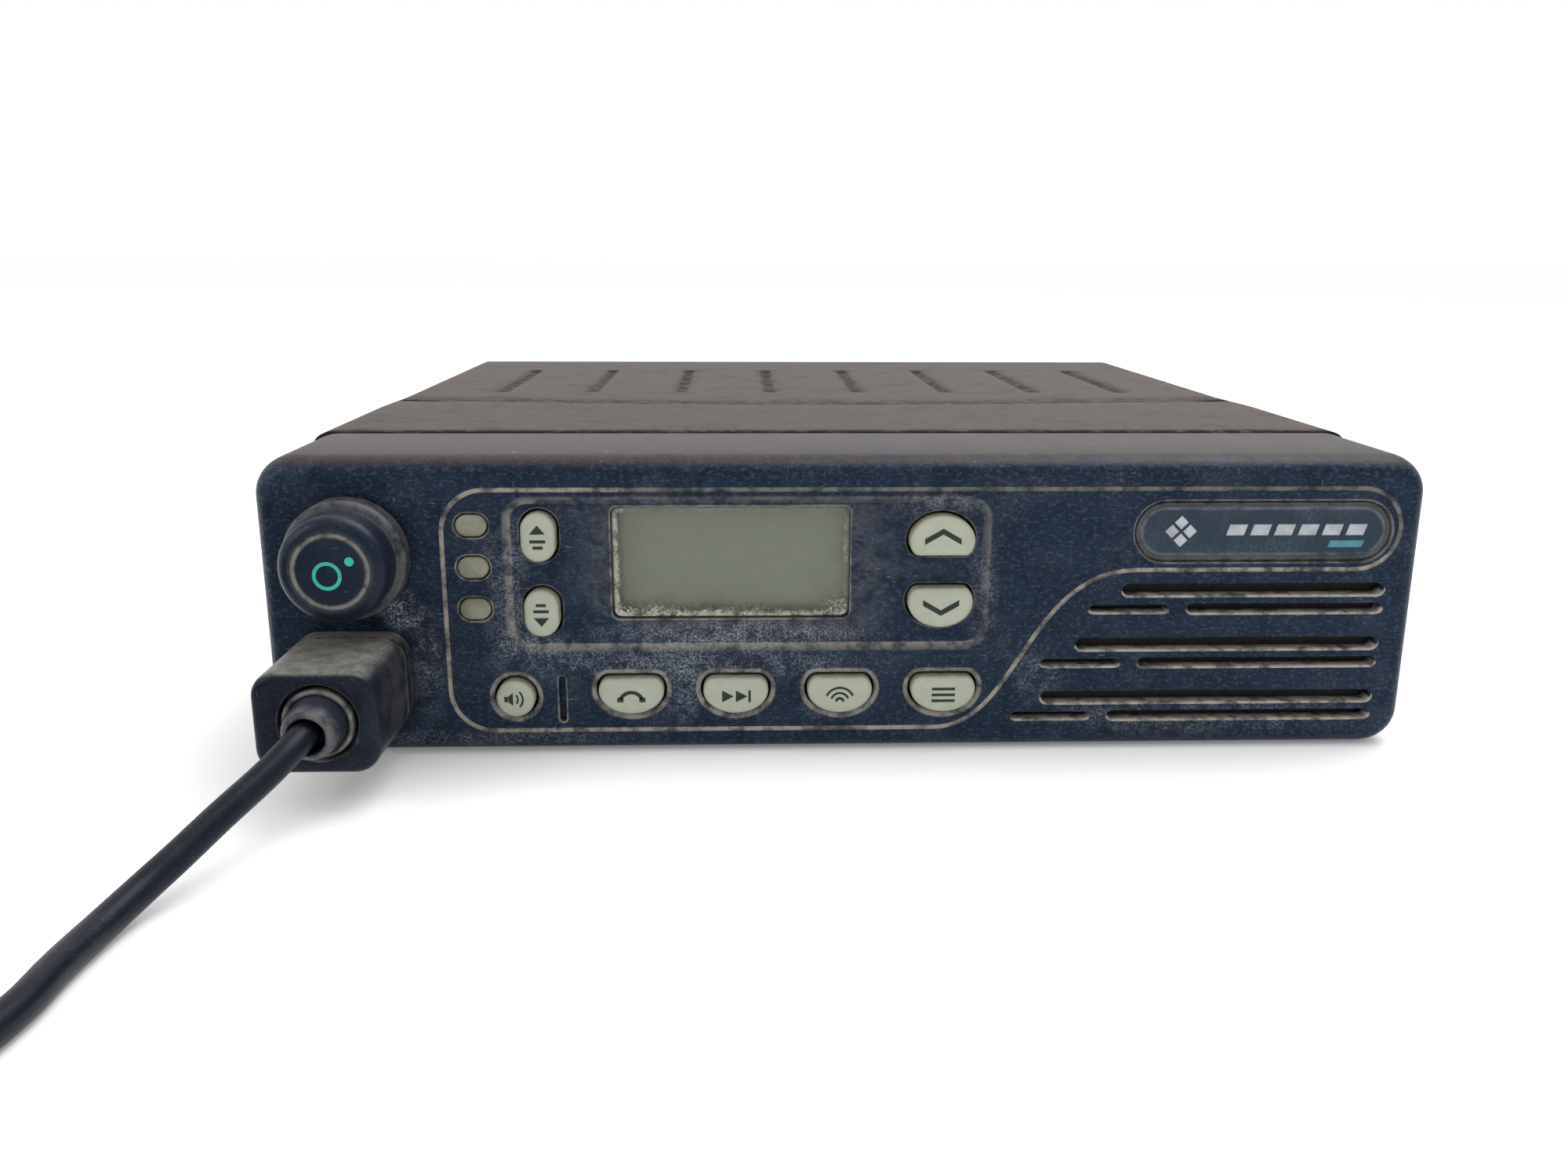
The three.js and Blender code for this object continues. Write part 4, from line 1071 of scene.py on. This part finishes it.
def cover_rows():
    """Where the cover's rings lie, closer together round the step and the ends of the channels."""
    rows = set(np.arange(BODY_FRONT + 1, COVER_REAR - 0.9, 2.0).round(2))
    rows |= set(np.arange(STEP_MIDDLE - 1.2, STEP_MIDDLE + STEP_BOW + 1.4, 0.35).round(2))
    for end in (-1, 1):
        rows |= {round(CHANNELS[0][1] + end * (CHANNEL_LONG / 2 - 2 + 0.25 * k), 2) for k in range(11)}
    return sorted(rows)


def make_cover():
    section = cover_section()
    along = unit(np.gradient(section, axis=0))
    inward = np.stack([-along[:, 1], along[:, 0]], axis=1)
    edge = 0.5
    curl = [(edge * (1 - cos(a)), edge * (1 - sin(a))) for a in quarter(4)]
    path = [(BODY_FRONT, COVER_THICK)] + [(BODY_FRONT + back, inset) for back, inset in curl]
    path += [(y, 0.0) for y in cover_rows()]
    path += [(COVER_REAR - back, inset) for back, inset in reversed(curl)] + [(COVER_REAR, COVER_THICK)]
    skin = Skin()
    rings = []

    # Painted shade for the seam, the step and the channels, on the top only
    def cover_painted_shade_at(x, y, z):
        return cover_painted_shade(x, y) if z > HEIGHT - COVER_ROLL else 0.0

    for y, inset in path:
        points = []
        for (x, z), (across, up) in zip(section, inward):
            share = max(0.0, (z - HEIGHT + COVER_ROLL) / COVER_ROLL) if inset < COVER_THICK else 0.0
            points.append((x + across * inset, y, z + up * inset - share * cover_sink(x, y)))
        rings.append(skin.ring(points, cover_painted_shade_at))
    for a, b in zip(rings, rings[1:]):
        skin.bridge(a, b, closed=False)
    skin.bridge(rings[-1], rings[0], closed=False)
    for side in (0, -1):
        skin.fill([ring[side] for ring in rings])
    cover = skin.done("cover_pressing", ["cover"], replaces=["top_cover"], angle=50)
    inside = BODY_HALF - COVER_THICK - 1
    holes = []
    for side in (-1, 1):
        for y in (-BRACKET_HOLE["y"], BRACKET_HOLE["y"]):
            start, stop = ((side * x, y, BRACKET_HOLE["z"]) for x in (inside, BODY_HALF + 1))
            holes.append(round_bar("bracket_hole", BRACKET_HOLE["radius"], Matrix(), start, stop))
    cut_with(cover, holes)


# ---- Hand microphone ----

MIC_MATRIX = Matrix.Translation(Vector((MIC["x"], MIC["y"], 0.05)) * MM) @ Matrix.Rotation(-MIC_TILT, 4, "X")


def upright(x, y, height):
    return x, y, height


def cut_with(piece, tools):
    """Cuts closed solids out of a piece and then removes them."""
    for tool in tools:
        change = piece.modifiers.new("cut", "BOOLEAN")
        change.operation = "DIFFERENCE"
        change.solver = "EXACT"
        change.object = tool
    bpy.context.view_layer.update()
    mesh = bpy.data.meshes.new_from_object(piece.evaluated_get(bpy.context.evaluated_depsgraph_get()))
    piece.modifiers.clear()
    piece.data = mesh
    for tool in tools:
        bpy.data.objects.remove(tool)
    mesh.set_sharp_from_angle(angle=radians(38))


def make_mic_back(outline):
    skin = Skin()
    roll = BACK_ROLL
    profile = [(-roll - 0.5, 0)] + rounded_base(roll, roll, 0, 6)
    profile += [(0, SEAM - 0.6), (-0.08, SEAM - 0.42, 0.3), (-0.35, SEAM - 0.3, 0.4)]
    profile += [(-0.8, SEAM - 0.1, 0.1)]
    profile += [(-SHELL, SEAM - 0.1), (-SHELL, SHELL + 2), (-SHELL - 2, SHELL)]
    skin.solid(outline, profile, upright)
    return skin.done("mic_back_shell", ["black"], replaces=["mic_rear_shell"], matrix=MIC_MATRIX)


def make_mic_front(outline, middle):
    """The shell with the grille of nine slots, and a shallow field for a label above it."""
    skin = Skin()
    roll = GRILLE_ROLL
    top = MIC["thick"]
    ceiling = top - SHELL

    def from_top(x, y, depth):
        return x, y, top - depth

    profile = [(-SHELL, SEAM + 0.25), (-0.8, SEAM + 0.25, 0.1), (-0.35, SEAM + 0.4, 0.4)]
    profile += [(-0.08, SEAM + 0.55, 0.3), (0, SEAM + 0.75)]
    profile += rounded_foot(roll, top, 0, 6) + [(-roll - 0.5, top)]
    _, face = skin.walls(outline, profile, upright)
    inner = [(-SHELL, SEAM + 0.25), (-SHELL, ceiling - 4)]
    inner += [(-SHELL - 1.3, ceiling - 1.3), (-SHELL - 4, ceiling)]
    _, inside = skin.walls(outline, inner, upright)
    through = []
    mouths = []
    for row in range(-4, 5):
        wide = GRILLE["widest"] - 0.9 * row * row
        y = middle + GRILLE["centre"] + GRILLE["pitch"] * row
        slot = rounded_rectangle(wide, GRILLE["high"], GRILLE["high"] / 2, 0, y, 0.35)
        edge = [(0.4, 0)] + rounded_edge(0.25, dust=0.4) + [(0, SHELL)]
        mouth, end = skin.walls(slot, edge, from_top)
        mouths.append(mouth)
        through.append(end)
    y = middle + LABEL["centre"]
    well = rounded_rectangle(LABEL["width"], LABEL["height"], LABEL["corner"], 0, y, 0.6)
    edge = [(0.5, 0)] + rounded_edge(0.3, dust=0.3) + rounded_foot(0.3, LABEL["deep"], 0.3)
    label, floor = skin.walls(well, edge, from_top)
    skin.fill(floor)
    skin.fill(face, label, *mouths)
    skin.fill(inside, *through)
    return skin.done("mic_grille_shell", ["black"], replaces=["mic_front_shell"], matrix=MIC_MATRIX)


def make_notch(y):
    """A block for cutting the button's place out of a shell."""
    skin = Skin()
    edge = NOTCH["edge"]
    long = BUTTON["length"] + BUTTON["room"]
    outline = rounded_rectangle(NOTCH["width"], long, NOTCH["corner"], -MIC["width"] / 2, y, 0.6)
    profile = rounded_base(edge, edge, NOTCH["low"], 4) + rounded_foot(edge, NOTCH["high"], 0, 4)
    skin.solid(outline, profile, upright)
    return skin.done("notch", ["black"], matrix=MIC_MATRIX)


def make_mic_shells():
    """Both shells, with a notch in each for the push-to-talk button and a way in for the cord."""
    middle = -MIC["length"] / 2
    outline = rounded_rectangle(MIC["width"], MIC["length"], MIC["corner"], 0, middle, 1.0)
    for shell in (make_mic_back(outline), make_mic_front(outline, middle)):
        way = round_bar("cord_way", CORD_WAY, MIC_MATRIX, (0, -6, SEAM), (0, 6, SEAM))
        cut_with(shell, [make_notch(middle - BUTTON["back"]), way])


def round_bar(name, radius, matrix, start, stop):
    start, stop = Vector(start), Vector(stop)
    forward = (stop - start).normalized()
    side = forward.orthogonal().normalized()
    other = forward.cross(side)
    long = (stop - start).length

    def place(u, v, along):
        return start + side * u + other * v + forward * along

    skin = Skin()
    skin.turned([(0, 0), (radius, 0), (radius, long), (0, long)], place, 32)
    return skin.done(name, ["black"], matrix=matrix)


def make_ptt():
    """The push-to-talk button, a pad with ribs across it in the microphone's side."""
    skin = Skin()
    x, y, z = -MIC["width"] / 2, -MIC["length"] / 2 - BUTTON["back"], BUTTON["z"]

    def place(u, v, out):
        return x + 4.5 - out, u, v

    pad = rounded_rectangle(BUTTON["length"], BUTTON["width"], 2.5, y, z, 0.5)
    edge, top = 1.0, BUTTON["thick"]
    profile = [(0, 0), (0, top - edge)] + rounded_foot(edge, top, 0.1, 4)
    skin.solid(pad, profile, place)
    crest = [(0, top - 0.2), (0, top + 0.2, 0.2), (-0.15, top + 0.38), (-0.35, top + 0.42)]
    for k in range(-5, 6):
        rib = rounded_rectangle(RIB["wide"], RIB["long"], RIB["wide"] / 2, y + RIB["pitch"] * k, z, 0.25)
        skin.solid(rib, crest, place)
    skin.done("ptt_pad", ["rubber"], "ptt_button", ["ptt_button"], matrix=MIC_MATRIX)


def make_mic_relief():
    skin = Skin()
    profile = [(0, -3.6), (3.2, -3.6), (3.2, 3.0), (4.2, 3.2), (4.4, 3.5), (4.4, 4.9), (4.2, 5.2)]
    for k in range(5):
        y, r = 5.6 + 2.3 * k, 4.0 - 0.28 * k
        profile += [(r - 0.75, y - 0.2), (r - 0.75, y + 0.35), (r, y + 0.6), (r - 0.04, y + 1.6)]
        profile += [(r - 0.7, y + 1.9)]
    profile += [(2.55, 17.0), (2.1, 17.1), (2.05, 16.8), (2.05, 14), (0, 14)]
    skin.turned(profile, beside(0, SEAM), 48)
    return skin.done("mic_cord_sleeve", ["rubber"], replaces=["mic_strain_relief"], matrix=MIC_MATRIX)


def make_hang_stud():
    def place(u, v, along):
        return u, HOOK["y"] + v, along

    low, r = -HOOK["high"], HOOK["radius"]
    skin = Skin()
    profile = [
        (0, low + 0.35), (1.9, low + 0.35), (2.2, low), (r - 0.5, low), (r - 0.12, low + 0.15),
        (r, low + 0.5), (r, low + 1.4), (r - 0.2, low + 1.8), (r - 1.2, low + 2.1), (3.4, low + 2.4),
        (3.2, low + 2.7), (3.2, -0.5), (3.5, -0.1), (0, -0.1),
    ]
    skin.turned(profile, place, 56)
    skin.done("mic_button_stud", ["steel"], replaces=["mic_hang_stud"], matrix=MIC_MATRIX)


# ---- CAD nodes that keep their shape, with their edges rounded ----

EDGED = {
    "chassis": ("casting", 0.45), "bottom_plate": ("casting", 0.3), "power_inlet": ("black", 0.3),
    "accessory_socket": ("black", 0.3), "power_pin_left": ("brass", 0.2), "power_pin_right": ("brass", 0.2),
    "receiver_shield": ("steel", 0.4), "synthesizer_shield": ("steel", 0.4), "power_module": ("black", 0.4),
    "antenna_relay": ("plastic_white", 0.4), "lcd_holder": ("plastic_white", 0.3), "mic_jack": ("black", 0.3),
}


def round_edges(node, material, width):
    """A copy of a CAD node with its flat faces merged and its sharp edges rounded."""
    work = bmesh.new()
    work.from_mesh(frame["nodes"][node].data)
    bmesh.ops.remove_doubles(work, verts=work.verts, dist=2e-6)
    bmesh.ops.dissolve_limit(work, angle_limit=radians(1), verts=work.verts, edges=work.edges)
    mesh = bpy.data.meshes.new(node + "_part")
    work.to_mesh(mesh)
    work.free()
    mesh.materials.clear()
    mesh.materials.append(LOOK[material])
    mesh.polygons.foreach_set("material_index", [0] * len(mesh.polygons))
    piece = add_object(node + "_part", mesh)
    bevel = piece.modifiers.new("edges", "BEVEL")
    bevel.width = width * MM
    bevel.segments = 2
    bevel.limit_method = "ANGLE"
    bevel.angle_limit = radians(35)
    mesh.shade_smooth()
    mesh.set_sharp_from_angle(angle=radians(35))
    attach(piece, frame["nodes"][node]["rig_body"])
    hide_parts(node)


def dress_nodes():
    """Every CAD node that is still shown gets its slot's finish."""
    for part in frame["record"]["subparts"]:
        mesh = frame["nodes"][part["node"]].data
        mesh.materials.clear()
        mesh.materials.append(LOOK[part["material_slot"]])


# ---- Camera, floor and light ----

def make_camera():
    data = bpy.data.cameras.new("camera")
    data.lens = LENS
    data.sensor_width = SENSOR
    data.clip_start = 0.005
    data.clip_end = 20
    camera = add_object("camera", data)
    pitch = Matrix.Rotation(pi / 2 - PITCH, 4, "X")
    turn = Matrix.Rotation(YAW, 4, "Z") @ pitch @ Matrix.Rotation(ROLL, 4, "Z")
    camera.matrix_world = Matrix.Translation(EYE) @ turn
    bpy.context.scene.camera = camera


def soft_light(name, place, aim, size, power):
    data = bpy.data.lights.new(name, "AREA")
    data.size = size
    data.energy = power
    light = add_object(name, data)
    light.location = place
    light.rotation_mode = "QUATERNION"
    light.rotation_quaternion = (Vector(aim) - Vector(place)).to_track_quat("-Z", "Y")


def make_studio():
    """A pale floor, a sky that is darker before the object than behind it, and two soft lights."""
    bpy.ops.mesh.primitive_plane_add(size=12)
    floor = bpy.context.object
    floor.name = "floor"
    floor.data.materials.append(LOOK["floor"])
    world = bpy.data.worlds.new("studio")
    world.use_nodes = True
    tree = world.node_tree
    direction = tree.nodes.new("ShaderNodeTexCoord")
    split = tree.nodes.new("ShaderNodeSeparateXYZ")
    shade = tree.nodes.new("ShaderNodeMapRange")
    tree.links.new(direction.outputs["Generated"], split.inputs["Vector"])
    tree.links.new(split.outputs["Y"], shade.inputs["Value"])
    for name, value in (("From Min", -0.6), ("From Max", 0.1), ("To Min", 0.72), ("To Max", 1.0)):
        shade.inputs[name].default_value = value
    tree.links.new(shade.outputs["Result"], tree.nodes["Background"].inputs["Color"])
    bpy.context.scene.world = world
    soft_light("overhead", (0.3, 0.15, 0.8), (0, 0, 0), 0.6, 5.0)
    soft_light("left", (-0.8, -0.5, 0.5), (0, -0.05, 0.02), 0.4, 2.0)
    bpy.context.scene.view_settings.view_transform = "Standard"


make_materials()
make_camera()
dress_nodes()
make_cord([make_plug(), make_plug_relief(), make_mic_relief()])
make_studio()
make_bezel()
for key_name, key_outline in KEYS.items():
    make_key(key_name, key_outline)
for lamp_name, lamp_z in LAMPS.items():
    make_lamp(lamp_name, lamp_z)
make_display()
make_badge()
make_knob()
make_cover()
make_mic_shells()
make_ptt()
make_hang_stud()
for node_name, (node_look, node_edge) in EDGED.items():
    round_edges(node_name, node_look, node_edge)
